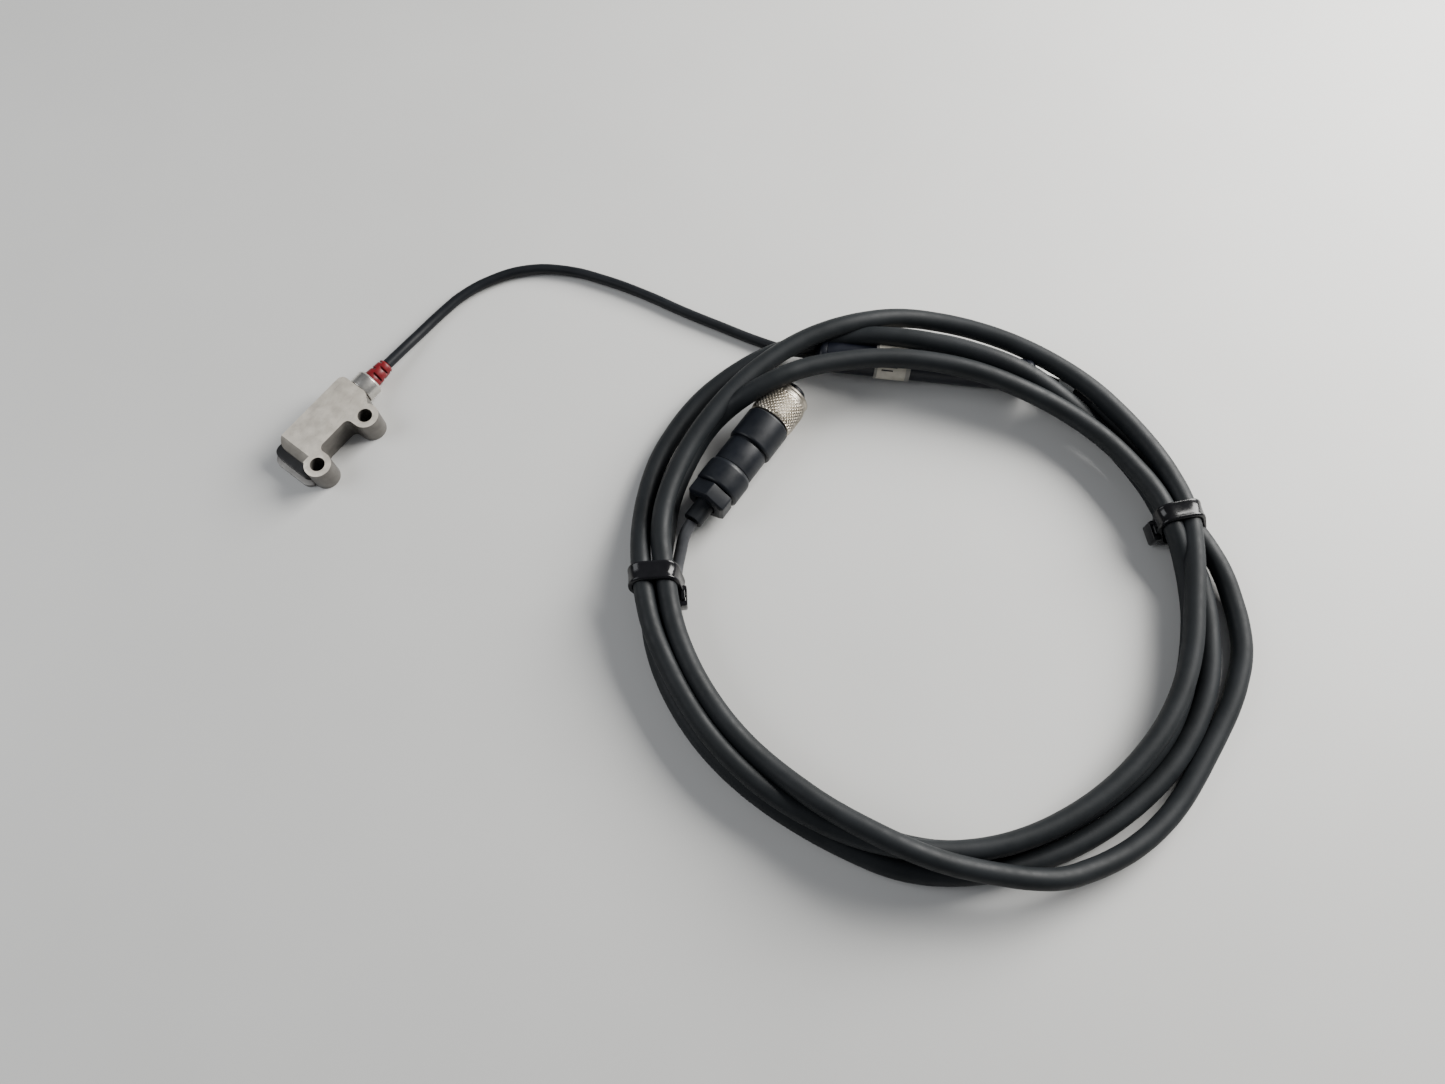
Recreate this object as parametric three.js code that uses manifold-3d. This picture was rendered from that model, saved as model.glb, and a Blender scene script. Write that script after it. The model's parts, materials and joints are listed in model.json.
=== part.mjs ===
// Miniature rectangular inductive proximity sensor with an in-line amplifier, a coiled cable held by
// two cable ties, and a four-contact field-wireable round connector. Millimetres, +Z up.
// The head lies flat on z = 0 with its long axis along X: sensing tip at -X, cable exit at +X.
import * as THREE from 'three';
import { mergeVertices } from 'three/addons/utils/BufferGeometryUtils.js';
import Module from 'manifold-3d';

const wasm = await Module();
wasm.setup();

// ---- Driving dimensions: sensor head ----
const HEAD_HEIGHT = 9.0;
const BLOCK = { tip: -18.2, neck: 10.4, recess: -2.8, far: 9.2, corner: 2.0 };
const EAR_RADIUS = 4.1;
const EAR_Y = -6.3;
const EAR_X = { tip: -16.1, neck: 4.4 };
const SCREW_HOLE_RADIUS = 2.25;
const HOLE_EDGE_BREAK = 0.35;
const STEP = { height: 4.9, end: 1.9, recess: -1.6 };
const TIP_CHAMFER = 2.3;
const NECK_CHAMFER = 0.9;
const CLEARANCE = 0.3;
const CLOSE_FIT = 0.05;
const RESIN = { tip: -20.9, far: 9.9, bottom: 1.5, top: 4.6, ear: -4.6, corner: 2.2 };
const RIM = { tip: -22.4, far: 10.4, ear: -6.0, height: 1.2, corner: 2.8 };
const WINDOW = { x: [-18.4, -1.2], y: [0.6, 8.2], corner: 2.0 };
const CORE_CENTRE = [-10.0, 4.4];
const CORE_RADIUS = 3.6;
const NECK = { y: 3.2, z: 4.5, radius: 4.3, bore: 2.6, length: 5.0 };
const BOOT = { end: 22.4, radius: 2.9, tip_radius: 2.4, bore: 1.8, spigot: 1.6 };
const BOOT_SLOTS = 4;

// ---- Driving dimensions: cables ----
const THIN_CABLE_RADIUS = 1.65;
const LEAD_RADIUS = 1.8;
const COIL_CENTRE = [67.5, -169.0];
const CORD_SIDES = 8;
const TIE = { strap: 1.2, width: 4.8, top: 13.7, corner: 4.4, lift: 0.05 };
const TIE_HEAD = { depth: 3.4, bite: 0.4, z: [3.6, 9.2] };

// ---- Driving dimensions: in-line amplifier ----
const AMP_START = [106.5, -102.3];
const AMP_ANGLE = -59.7;
const AMP_RADIUS = 5.1;
const AMP_BORE = 4.4;
const AMP_LENGTH = 69.0;
const AMP_CAP = 3.6;
const LABEL_SPAN = [17.0, 30.5];
const INDICATOR_X = 57.0;

// ---- Driving dimensions: connector ----
const PLUG_START = [43.9, -106.5];
const PLUG_ANGLE = 1.6;
const PLUG_AXIS_Z = 7.3;
const GLAND_ACROSS_FLATS = 12.4;
const CONTACT_CIRCLE = 2.5;
const CONTACT_COUNT = 4;
const CARRIER_RADIUS = 4.3;

const TURNED_SIDES = 24;
const SMALL_SIDES = 12;

// ---- Shared helpers ----

// One closed, outward-facing triangle list with no seams and no zero-area triangles.
function closed(geometry) {
  const bare = geometry.clone();
  bare.deleteAttribute('normal');
  bare.deleteAttribute('uv');
  const merged = mergeVertices(bare, 1e-4);
  const index = merged.index.array;
  const position = merged.attributes.position;
  const kept = [];
  let volume = 0;
  const a = new THREE.Vector3();
  const b = new THREE.Vector3();
  const c = new THREE.Vector3();
  for (let i = 0; i < index.length; i += 3) {
    const [p, q, r] = [index[i], index[i + 1], index[i + 2]];
    if (p === q || q === r || r === p) continue;
    a.fromBufferAttribute(position, p);
    b.fromBufferAttribute(position, q);
    c.fromBufferAttribute(position, r);
    volume += a.dot(b.cross(c)) / 6;
    kept.push(p, q, r);
  }
  if (volume < 0) {
    for (let i = 0; i < kept.length; i += 3) {
      [kept[i + 1], kept[i + 2]] = [kept[i + 2], kept[i + 1]];
    }
  }
  merged.setIndex(kept);
  return merged;
}

function toManifold(geometry) {
  const solid = closed(geometry);
  return new wasm.Manifold(new wasm.Mesh({
    numProp: 3,
    vertProperties: new Float32Array(solid.attributes.position.array),
    triVerts: new Uint32Array(solid.index.array),
  }));
}

function fromManifold(manifold) {
  const mesh = manifold.getMesh();
  const geometry = new THREE.BufferGeometry();
  geometry.setAttribute('position', new THREE.BufferAttribute(new Float32Array(mesh.vertProperties), 3));
  geometry.setIndex(Array.from(mesh.triVerts));
  return closed(geometry);
}

function join(first, ...others) {
  return fromManifold(others.reduce((sum, other) => sum.add(toManifold(other)), toManifold(first)));
}

function cut(first, ...tools) {
  return fromManifold(tools.reduce((rest, tool) => rest.subtract(toManifold(tool)), toManifold(first)));
}

function box([x0, x1], [y0, y1], [z0, z1]) {
  const geometry = new THREE.BoxGeometry(x1 - x0, y1 - y0, z1 - z0);
  return geometry.translate((x0 + x1) / 2, (y0 + y1) / 2, (z0 + z1) / 2);
}

// A turned solid about the X axis from [x, radius] pairs.
function turned(profile, sides = TURNED_SIDES) {
  const points = profile.map(([x, radius]) => new THREE.Vector2(radius, x));
  return closed(new THREE.LatheGeometry(points, sides).rotateZ(-Math.PI / 2));
}

function tube([x0, x1], inner, outer, sides = TURNED_SIDES) {
  return turned([[x0, inner], [x0, outer], [x1, outer], [x1, inner], [x0, inner]], sides);
}

function rod([x0, x1], radius, sides = SMALL_SIDES) {
  return turned([[x0, 0], [x0, radius], [x1, radius], [x1, 0]], sides);
}

function upright(x, y, radius, [z0, z1], sides = TURNED_SIDES) {
  const geometry = new THREE.CylinderGeometry(radius, radius, z1 - z0, sides).rotateX(Math.PI / 2);
  return geometry.translate(x, y, (z0 + z1) / 2);
}

function prism(shape, [z0, z1], edge = 0) {
  const geometry = new THREE.ExtrudeGeometry(shape, {
    depth: z1 - z0 - 2 * edge,
    bevelEnabled: edge > 0,
    bevelThickness: edge,
    bevelSize: edge,
    bevelOffset: -edge,
    bevelSegments: 1,
    curveSegments: 5,
  });
  return geometry.translate(0, 0, z0 + edge);
}

function roundedRectangle([x0, x1], [y0, y1], radius) {
  const shape = new THREE.Shape();
  shape.moveTo(x0 + radius, y0);
  shape.lineTo(x1 - radius, y0);
  shape.absarc(x1 - radius, y0 + radius, radius, -Math.PI / 2, 0);
  shape.lineTo(x1, y1 - radius);
  shape.absarc(x1 - radius, y1 - radius, radius, 0, Math.PI / 2);
  shape.lineTo(x0 + radius, y1);
  shape.absarc(x0 + radius, y1 - radius, radius, Math.PI / 2, Math.PI);
  shape.lineTo(x0, y0 + radius);
  shape.absarc(x0 + radius, y0 + radius, radius, Math.PI, 1.5 * Math.PI);
  return shape;
}

// A round cord along hand-chosen route points.
function cord(route, radius, steps) {
  const curve = new THREE.CatmullRomCurve3(route.map((point) => new THREE.Vector3(...point)));
  const section = new THREE.Shape();
  section.absarc(0, 0, radius, 0, 2 * Math.PI);
  const geometry = new THREE.ExtrudeGeometry(section, {
    steps,
    extrudePath: curve,
    curveSegments: CORD_SIDES / 2,
    bevelEnabled: false,
  });
  return closed(geometry);
}

const group = new THREE.Group();

function add(name, geometry, colour, metalness = 0, roughness = 0.6) {
  const material = new THREE.MeshStandardMaterial({ color: colour, metalness, roughness });
  const mesh = new THREE.Mesh(closed(geometry), material);
  mesh.name = name;
  group.add(mesh);
}

const STEEL = 0xb4aea3;
const BLACK = 0x1b1c1f;
const NICKEL = 0xb9ab98;
const BOARD_GREEN = 0x2c5a3c;
const COPPER = 0xb0683a;

// ---- Sensor head ----

function headOutline() {
  const fillet = 1.8;
  const tipSide = Math.acos((BLOCK.tip - EAR_X.tip) / EAR_RADIUS);
  const shape = new THREE.Shape();
  shape.moveTo(BLOCK.tip, BLOCK.far - BLOCK.corner);
  shape.lineTo(BLOCK.tip, EAR_Y + EAR_RADIUS * Math.sin(tipSide));
  shape.absarc(EAR_X.tip, EAR_Y, EAR_RADIUS, tipSide, 2 * Math.PI);
  shape.lineTo(EAR_X.tip + EAR_RADIUS, BLOCK.recess - fillet);
  shape.quadraticCurveTo(EAR_X.tip + EAR_RADIUS, BLOCK.recess,
    EAR_X.tip + EAR_RADIUS + fillet, BLOCK.recess);
  shape.lineTo(EAR_X.neck - EAR_RADIUS - fillet, BLOCK.recess);
  shape.quadraticCurveTo(EAR_X.neck - EAR_RADIUS, BLOCK.recess,
    EAR_X.neck - EAR_RADIUS, BLOCK.recess - fillet);
  shape.lineTo(EAR_X.neck - EAR_RADIUS, EAR_Y);
  shape.absarc(EAR_X.neck, EAR_Y, EAR_RADIUS, Math.PI, 2 * Math.PI);
  shape.lineTo(BLOCK.neck - 1.0, BLOCK.recess - 0.6);
  shape.quadraticCurveTo(BLOCK.neck, BLOCK.recess, BLOCK.neck, BLOCK.recess + 2.0);
  shape.lineTo(BLOCK.neck, BLOCK.far - BLOCK.corner);
  shape.absarc(BLOCK.neck - BLOCK.corner, BLOCK.far - BLOCK.corner, BLOCK.corner, 0, Math.PI / 2);
  shape.lineTo(BLOCK.tip + BLOCK.corner, BLOCK.far);
  shape.absarc(BLOCK.tip + BLOCK.corner, BLOCK.far - BLOCK.corner, BLOCK.corner, Math.PI / 2, Math.PI);
  return shape;
}

// A long square bar turned 45 degrees, for cutting a chamfer along Y at the point (x, z).
function chamferBar(x, z, depth, [y0, y1]) {
  const bar = box([-depth * Math.SQRT1_2, depth * Math.SQRT1_2], [y0, y1],
    [-depth * Math.SQRT1_2, depth * Math.SQRT1_2]);
  return bar.rotateY(Math.PI / 4).translate(x, 0, z);
}

function headHousing() {
  const outline = prism(headOutline(), [0, HEAD_HEIGHT], 0.25);
  const shoulder = prism(
    roundedRectangle([STEP.end + CLEARANCE, BLOCK.neck - 1.2], [BLOCK.far - 3, RIM.far - 0.2], 1.4),
    [0, HEAD_HEIGHT - 1.6], 0.4);
  const step = box([BLOCK.tip - 5, STEP.end], [STEP.recess, BLOCK.far + 5], [-1, STEP.height]);
  const cavity = box([BLOCK.tip + 2.2, BLOCK.neck - 2.4], [-0.6, 7.4], [3.4, HEAD_HEIGHT - 1.1]);
  const cableBore = rod([BLOCK.neck - 4, BLOCK.neck + 1], NECK.bore, TURNED_SIDES);
  cableBore.translate(0, NECK.y, NECK.z);
  const holes = [];
  for (const x of [EAR_X.tip, EAR_X.neck]) {
    holes.push(upright(x, EAR_Y, SCREW_HOLE_RADIUS, [-1, HEAD_HEIGHT + 1]));
    for (const [z0, z1] of [[-1, HOLE_EDGE_BREAK], [HEAD_HEIGHT - HOLE_EDGE_BREAK, HEAD_HEIGHT + 1]]) {
      holes.push(upright(x, EAR_Y, SCREW_HOLE_RADIUS + HOLE_EDGE_BREAK / 2, [z0, z1]));
    }
  }
  return cut(join(outline, shoulder), step, cavity, cableBore, ...holes,
    chamferBar(BLOCK.tip, HEAD_HEIGHT, TIP_CHAMFER, [-2.6, BLOCK.far + 1]),
    chamferBar(BLOCK.neck, HEAD_HEIGHT, NECK_CHAMFER, [-2.0, BLOCK.far + 1]));
}

// The parts under the step share this cut, which leaves room for the tip ear and the recess wall.
function clearOfEar(solid) {
  return cut(solid,
    upright(EAR_X.tip, EAR_Y, EAR_RADIUS + CLEARANCE, [-1, HEAD_HEIGHT]),
    box([EAR_X.tip - 2.4, STEP.end + 1], [-15, STEP.recess + CLEARANCE], [-1, HEAD_HEIGHT]));
}

function sensingFace() {
  const endX = STEP.end - CLEARANCE;
  const slab = prism(roundedRectangle([RESIN.tip, endX], [RESIN.ear, RESIN.far], RESIN.corner),
    [RESIN.bottom, RESIN.top], 0.3);
  const face = prism(roundedRectangle(WINDOW.x, WINDOW.y, WINDOW.corner), [0.1, RESIN.bottom + 0.5]);
  const pocket = upright(...CORE_CENTRE, CORE_RADIUS + CLEARANCE, [1.9, RESIN.top + 1]);
  return cut(clearOfEar(join(slab, face)), pocket);
}

function baseRim() {
  const endX = STEP.end - CLEARANCE;
  const plate = prism(roundedRectangle([RIM.tip, endX], [RIM.ear, RIM.far], RIM.corner),
    [0, RIM.height], 0.2);
  const grow = ([low, high]) => [low - CLEARANCE, high + CLEARANCE];
  const window = prism(roundedRectangle(grow(WINDOW.x), grow(WINDOW.y), WINDOW.corner),
    [-1, RIM.height + 1]);
  return cut(clearOfEar(plate), window);
}

function buildHead() {
  add('head_housing', headHousing(), STEEL, 0.9, 0.45);
  add('sensing_face', sensingFace(), BLACK);
  add('base_rim', baseRim(), STEEL, 0.9, 0.45);

  const [coreX, coreY] = CORE_CENTRE;
  const stand = (solid) => solid.rotateY(-Math.PI / 2).translate(coreX, coreY, 0);
  add('ferrite_core', stand(turned([
    [2.2, 0], [2.2, 1.3], [3.9, 1.3], [3.9, 3.0], [2.2, 3.0], [2.2, CORE_RADIUS], [4.5, CORE_RADIUS],
    [4.5, 0],
  ])), 0x3a3a3c);
  add('sensing_coil', stand(tube([2.3, 3.7], 1.5, 2.8)), COPPER, 0.8, 0.4);
  add('head_board', box([-15.2, 5.2], [0.2, 6.6], [6.0, 6.9]), BOARD_GREEN);
  add('oscillator_chip', box([-4.5, -1.3], [1.8, 5.0], [5.2, 5.95]), BLACK);

  const onNeck = (solid) => solid.translate(0, NECK.y, NECK.z);
  const neckStart = BLOCK.neck + CLOSE_FIT;
  const neckEnd = neckStart + NECK.length;
  add('neck_collar', onNeck(turned([
    [neckStart, NECK.bore], [neckStart, NECK.radius], [neckEnd - 0.4, NECK.radius],
    [neckEnd, NECK.radius - 0.4], [neckEnd, NECK.bore], [neckStart, NECK.bore],
  ])), STEEL, 1, 0.2);
  add('crimp_ferrule', onNeck(tube([neckStart - 2.2, neckEnd - 2.2], 1.85, 2.4)), NICKEL, 1, 0.3);

  const bootStart = neckEnd + CLOSE_FIT;
  const boot = turned([
    [bootStart - BOOT.spigot, BOOT.bore], [bootStart - BOOT.spigot, NECK.bore - 0.15],
    [bootStart, NECK.bore - 0.15], [bootStart, BOOT.radius], [BOOT.end - 0.5, BOOT.tip_radius + 0.1],
    [BOOT.end, BOOT.tip_radius - 0.15], [BOOT.end, BOOT.bore], [bootStart - BOOT.spigot, BOOT.bore],
  ]);
  const slots = [];
  const pitch = (BOOT.end - bootStart) / (BOOT_SLOTS + 1);
  for (let i = 0; i < BOOT_SLOTS; i += 1) {
    const x = bootStart + pitch * (i + 1);
    const quarter = (i % 2) * Math.PI / 2;
    for (const side of [0, Math.PI]) {
      const slot = box([x - 0.35, x + 0.35], [-1.5, 1.5], [1.0, 4.0]);
      slots.push(slot.rotateX(quarter + side + Math.PI / 4));
    }
  }
  add('strain_relief_boot', onNeck(cut(boot, ...slots)), 0xb01822);
  add('head_cable_stub', onNeck(rod([BLOCK.neck - 2.6, BOOT.end - 0.2], THIN_CABLE_RADIUS)), BLACK);
}

// ---- Cables ----

const HEAD_CABLE_ROUTE = [
  [22.5, 3.2, 4.5], [32, 3.6, 3.3], [38, 3.9, 2.4], [44, 4.0, 1.9], [50, 3.7, 1.75],
  [56, 3.0, 1.75], [67, -0.8, 1.75], [77, -7.6, 1.75], [84.5, -18, 1.75], [89.5, -31, 1.75],
  [93, -45, 1.75], [95.5, -59, 1.75], [98.3, -72, 1.75], [101.0, -84, 1.8], [103.2, -93, 2.8],
  [106.2, -101.7, 5.0],
];
const OUTPUT_LEAD_ROUTE = [[142.2, -163.3, 4.9], [143.8, -171.5, 4.6], [144.9, -180.6, 4.3]];
const PLUG_TAIL_ROUTE = [
  [37.4, -106.7, 7.25], [33.4, -107.2, 6.3], [28.2, -109.4, 4.9], [23.2, -111.9, 4.0],
  [18.6, -115.0, 3.8],
];

// The coil's outer shape at equal steps anticlockwise from +X about COIL_CENTRE:
// [inner radius, outer radius, underside, top]. It rises over the amplifier in the first quarter.
const COIL_STATIONS = [
  [62.0, 82.2, 11.6, 15.6], [61.0, 84.8, 11.6, 17.0], [63.0, 85.4, 11.6, 18.0], [76.6, 88.0, 11.6, 19.3],
  [75.6, 91.0, 0.4, 15.0], [75.4, 87.6, 1.7, 13.0], [75.4, 84.6, 1.8, 13.2], [71.2, 85.0, 0.3, 12.6],
  [71.2, 84.6, 0.3, 12.6], [75.0, 86.5, 0.3, 13.0], [76.6, 89.0, 0.3, 13.8], [75.0, 96.0, 0.3, 12.4],
  [75.0, 95.0, 0.3, 12.2], [74.6, 96.0, 0.3, 12.4], [71.0, 83.4, 1.8, 13.2], [67.0, 81.4, 1.8, 13.4],
];
const COIL_SEGMENTS = 48;
const COIL_CORNER = 2.2;

function coilStation(turn) {
  const count = COIL_STATIONS.length;
  const place = turn * count;
  const low = Math.floor(place) % count;
  const high = (low + 1) % count;
  const blend = place - Math.floor(place);
  return COIL_STATIONS[low].map((value, k) => value * (1 - blend) + COIL_STATIONS[high][k] * blend);
}

function coilSolid() {
  const vertices = [];
  const triangles = [];
  const sides = 8;
  for (let i = 0; i < COIL_SEGMENTS; i += 1) {
    const turn = i / COIL_SEGMENTS;
    const [inner, outer, low, high] = coilStation(turn);
    const c = Math.min(COIL_CORNER, (high - low) / 2.5);
    const section = [
      [inner + c, low], [outer - c, low], [outer, low + c], [outer, high - c],
      [outer - c, high], [inner + c, high], [inner, high - c], [inner, low + c],
    ];
    const angle = 2 * Math.PI * turn;
    for (const [radius, z] of section) {
      vertices.push(COIL_CENTRE[0] + radius * Math.cos(angle), COIL_CENTRE[1] + radius * Math.sin(angle), z);
    }
    const next = (i + 1) % COIL_SEGMENTS;
    for (let k = 0; k < sides; k += 1) {
      const k2 = (k + 1) % sides;
      const [a, b] = [i * sides + k, i * sides + k2];
      const [d, e] = [next * sides + k, next * sides + k2];
      triangles.push(a, b, e, a, e, d);
    }
  }
  const geometry = new THREE.BufferGeometry();
  geometry.setAttribute('position', new THREE.Float32BufferAttribute(vertices, 3));
  geometry.setIndex(triangles);
  return geometry;
}

// A cable tie: a strap loop standing across the bundle at the given angle about the coil, with its
// square locking head. Built in radius (x), tangent (y) and height (z), then turned into place.
function cableTie(angleDegrees, [inner, outer], headSide) {
  const [loopInner, loopOuter] = [inner - TIE.strap, outer + TIE.strap];
  const loop = roundedRectangle([loopInner, loopOuter], [TIE.lift, TIE.top + TIE.strap], TIE.corner);
  const window = roundedRectangle([inner, outer], [TIE.strap + TIE.lift, TIE.top], TIE.corner - 1);
  const shape = (outline, half) => prism(outline, [-half, half]).rotateX(Math.PI / 2);
  const headX = headSide < 0
    ? [loopInner - TIE_HEAD.depth, loopInner + TIE_HEAD.bite]
    : [loopOuter - TIE_HEAD.bite, loopOuter + TIE_HEAD.depth];
  const headHalf = TIE.width / 2 + TIE_HEAD.bite;
  const head = box(headX, [-headHalf, headHalf], TIE_HEAD.z);
  const solid = cut(join(shape(loop, TIE.width / 2), head), shape(window, TIE.width));
  solid.rotateZ(THREE.MathUtils.degToRad(angleDegrees));
  return solid.translate(COIL_CENTRE[0], COIL_CENTRE[1], 0);
}

function buildCables() {
  add('head_cable', cord(HEAD_CABLE_ROUTE, THIN_CABLE_RADIUS, 30), BLACK);
  add('output_lead', cord(OUTPUT_LEAD_ROUTE, LEAD_RADIUS, 5), BLACK);
  add('plug_tail', cord(PLUG_TAIL_ROUTE, LEAD_RADIUS, 8), BLACK);
  add('cable_coil', coilSolid(), 0x25282d);
  add('cable_tie_left', cableTie(130, [69.9, 86.2], -1), BLACK);
  add('cable_tie_right', cableTie(318, [69.2, 84.8], 1), BLACK);
}

// ---- In-line amplifier, built along X and then laid in place ----

function arcStrip([x0, x1], inner, outer, [from, to]) {
  const shape = new THREE.Shape();
  shape.absarc(0, 0, outer, from, to, false);
  shape.absarc(0, 0, inner, to, from, true);
  const depth = x1 - x0;
  const geometry = new THREE.ExtrudeGeometry(shape, { depth, bevelEnabled: false, curveSegments: 14 });
  return closed(geometry.rotateX(Math.PI / 2).rotateZ(Math.PI / 2).translate(x0, 0, 0));
}

function buildAmplifier() {
  const lay = (solid) => {
    solid.rotateZ(THREE.MathUtils.degToRad(AMP_ANGLE));
    return solid.translate(AMP_START[0], AMP_START[1], AMP_RADIUS);
  };
  const outputStart = AMP_LENGTH - AMP_CAP;
  const indicatorHole = upright(INDICATOR_X, 0, 1.3, [0, AMP_RADIUS + 1], SMALL_SIDES);
  add('amplifier_tube', lay(cut(
    tube([AMP_CAP + CLOSE_FIT, outputStart - CLOSE_FIT], AMP_BORE, AMP_RADIUS), indicatorHole)), BLACK);
  const cap = () => turned([
    [0, 2.0], [0, 3.2], [0.7, AMP_RADIUS - 0.5], [1.6, AMP_RADIUS], [AMP_CAP, AMP_RADIUS],
    [AMP_CAP, AMP_BORE - 0.1], [AMP_CAP + 2.6, AMP_BORE - 0.1], [AMP_CAP + 2.6, 2.0], [0, 2.0],
  ]);
  add('amplifier_input_cap', lay(cap()), BLACK);
  add('amplifier_output_cap', lay(cap().rotateZ(Math.PI).translate(AMP_LENGTH, 0, 0)), BLACK);
  add('amplifier_board', lay(box([8.2, 60.4], [-3.6, 3.6], [-0.6, 0.4])), BOARD_GREEN);
  add('amplifier_chip', lay(box([20, 27], [-2.4, 2.4], [0.45, 1.9])), BLACK);
  add('output_transistor', lay(box([38, 42], [-2.2, 2.2], [0.45, 2.2])), BLACK);
  add('sensitivity_resistor', lay(box([46, 49.2], [-0.9, 0.9], [0.45, 1.1])), 0x6b4a2a);
  add('indicator_led', lay(box([INDICATOR_X - 0.8, INDICATOR_X + 0.8], [-0.6, 0.6], [0.45, 1.3])), 0xd8d2b0);
  add('indicator_lens', lay(upright(INDICATOR_X, 0, 1.15, [2.4, AMP_RADIUS - 0.05], SMALL_SIDES)), 0xc8501e);
  add('label_clip', lay(arcStrip(LABEL_SPAN, AMP_RADIUS + 0.06, AMP_RADIUS + 0.5,
    [-0.2 * Math.PI, 1.2 * Math.PI])), 0x8f8c84);
  const [labelStart, labelEnd] = LABEL_SPAN;
  add('label_plate', lay(arcStrip([labelStart + 1.2, labelEnd - 2.4], AMP_RADIUS + 0.56, AMP_RADIUS + 0.9,
    [-0.15 * Math.PI, 0.65 * Math.PI])), 0xb5ab95);
  const sleeve = tube([71.4, 76.6], LEAD_RADIUS + 0.45, LEAD_RADIUS + 0.9, SMALL_SIDES);
  sleeve.translate(-74, 0, 0).rotateZ(-1.4);
  add('marker_sleeve', sleeve.translate(143.8, -171.5, 4.6), 0xc9c9c4);
}

// ---- Field-wireable connector, built along X and then laid in place ----

function hexBar([x0, x1], acrossFlats) {
  const radius = acrossFlats / Math.sqrt(3);
  return turned([[x0, 0], [x0, radius], [x1, radius], [x1, 0]], 6);
}

function buildConnector() {
  const lay = (solid) => {
    solid.rotateZ(THREE.MathUtils.degToRad(PLUG_ANGLE));
    return solid.translate(PLUG_START[0], PLUG_START[1], PLUG_AXIS_Z);
  };
  add('adapter_sleeve', lay(tube([-6.2, 8.4], 1.95, 3.0)), BLACK);
  add('gland_nut', lay(cut(hexBar([0, 5.0], GLAND_ACROSS_FLATS),
    rod([-1, 6], 3.3, TURNED_SIDES), rod([1.4, 6], 5.65, TURNED_SIDES))), BLACK);
  add('thrust_washer', lay(tube([1.7, 2.2], 3.3, 4.9)), NICKEL, 1, 0.4);
  const claw = tube([2.6, 9.0], 4.1, 4.7);
  const clawSlots = [];
  for (let i = 0; i < 4; i += 1) {
    clawSlots.push(box([2, 6.4], [-0.5, 0.5], [3, 6]).rotateX(i * Math.PI / 2));
  }
  add('clamp_claw', lay(cut(claw, ...clawSlots)), BLACK);
  add('cable_seal', lay(tube([3.0, 8.6], 3.1, 3.95)), 0x34383c);
  add('shell_rear', lay(turned([
    [2.6, 4.85], [2.6, 5.5], [5.4, 5.5], [5.4, 6.7], [6.0, 7.1], [12.4, 7.1], [13.6, 6.6],
    [13.6, 5.5], [9.4, 5.5], [9.4, 4.85], [2.6, 4.85],
  ])), BLACK);
  add('shell_front', lay(turned([
    [13.7, 5.0], [13.7, 6.5], [22.2, 6.5], [22.2, 5.9], [22.9, 5.9], [22.9, 7.0], [23.4, 7.15],
    [32.9, 7.15], [33.4, 6.8], [33.4, 5.9], [28.3, 5.9], [28.3, 5.0], [13.7, 5.0],
  ])), BLACK);

  const contactHoles = [];
  const contactPlaces = [];
  for (let i = 0; i < CONTACT_COUNT; i += 1) {
    const angle = Math.PI / 4 + i * 2 * Math.PI / CONTACT_COUNT;
    const place = [CONTACT_CIRCLE * Math.cos(angle), CONTACT_CIRCLE * Math.sin(angle)];
    contactPlaces.push(place);
    contactHoles.push(rod([20, 50], 0.9).translate(0, ...place));
  }
  const carrier = turned([
    [28.6, 0], [28.6, 5.6], [32.9, 5.6], [32.9, CARRIER_RADIUS], [46.9, CARRIER_RADIUS],
    [47.3, CARRIER_RADIUS - 0.4], [47.3, 0],
  ]);
  const keyway = box([40, 48], [-0.7, 0.7], [CARRIER_RADIUS - 0.7, CARRIER_RADIUS + 1]);
  add('contact_carrier', lay(cut(carrier, ...contactHoles, keyway)), BLACK);
  contactPlaces.forEach((place, i) => {
    const socket = turned([
      [25.0, 0], [25.0, 0.75], [47.0, 0.75], [47.0, 0.48], [39.0, 0.48], [39.0, 0],
    ], SMALL_SIDES);
    add(`contact_${i + 1}`, lay(socket.translate(0, ...place)), 0xc9a86a, 1, 0.3);
  });
  add('coupling_nut', lay(turned([
    [33.8, 4.42], [33.8, 6.9], [34.2, 7.25], [42.2, 7.25], [42.6, 6.75], [43.2, 6.75], [43.5, 6.45],
    [43.9, 6.45], [44.1, 6.7], [44.7, 6.7], [45.0, 6.3], [45.0, 5.5], [35.2, 5.5], [35.2, 4.42],
    [33.8, 4.42],
  ], 32)), NICKEL, 1, 0.35);
  add('nut_retaining_ring', lay(tube([35.5, 36.3], CARRIER_RADIUS + 0.05, 5.2)), NICKEL, 1, 0.4);
  add('face_seal', lay(turned([
    [36.7, 4.9], [37.1, 4.4], [37.7, 4.4], [38.1, 4.9], [37.7, 5.3], [37.1, 5.3], [36.7, 4.9],
  ])), 0x2a2a2a);
}

buildHead();
buildCables();
buildAmplifier();
buildConnector();

export default group;
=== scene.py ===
# Looks of a miniature inductive proximity sensor: blasted steel head, thin cable, in-line amplifier,
# a coil of thick cable held by two ties, and a round four-contact connector. Blender 4.5, metres.
import json
import math

import bmesh
import bpy
from mathutils import Matrix, Vector


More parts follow.
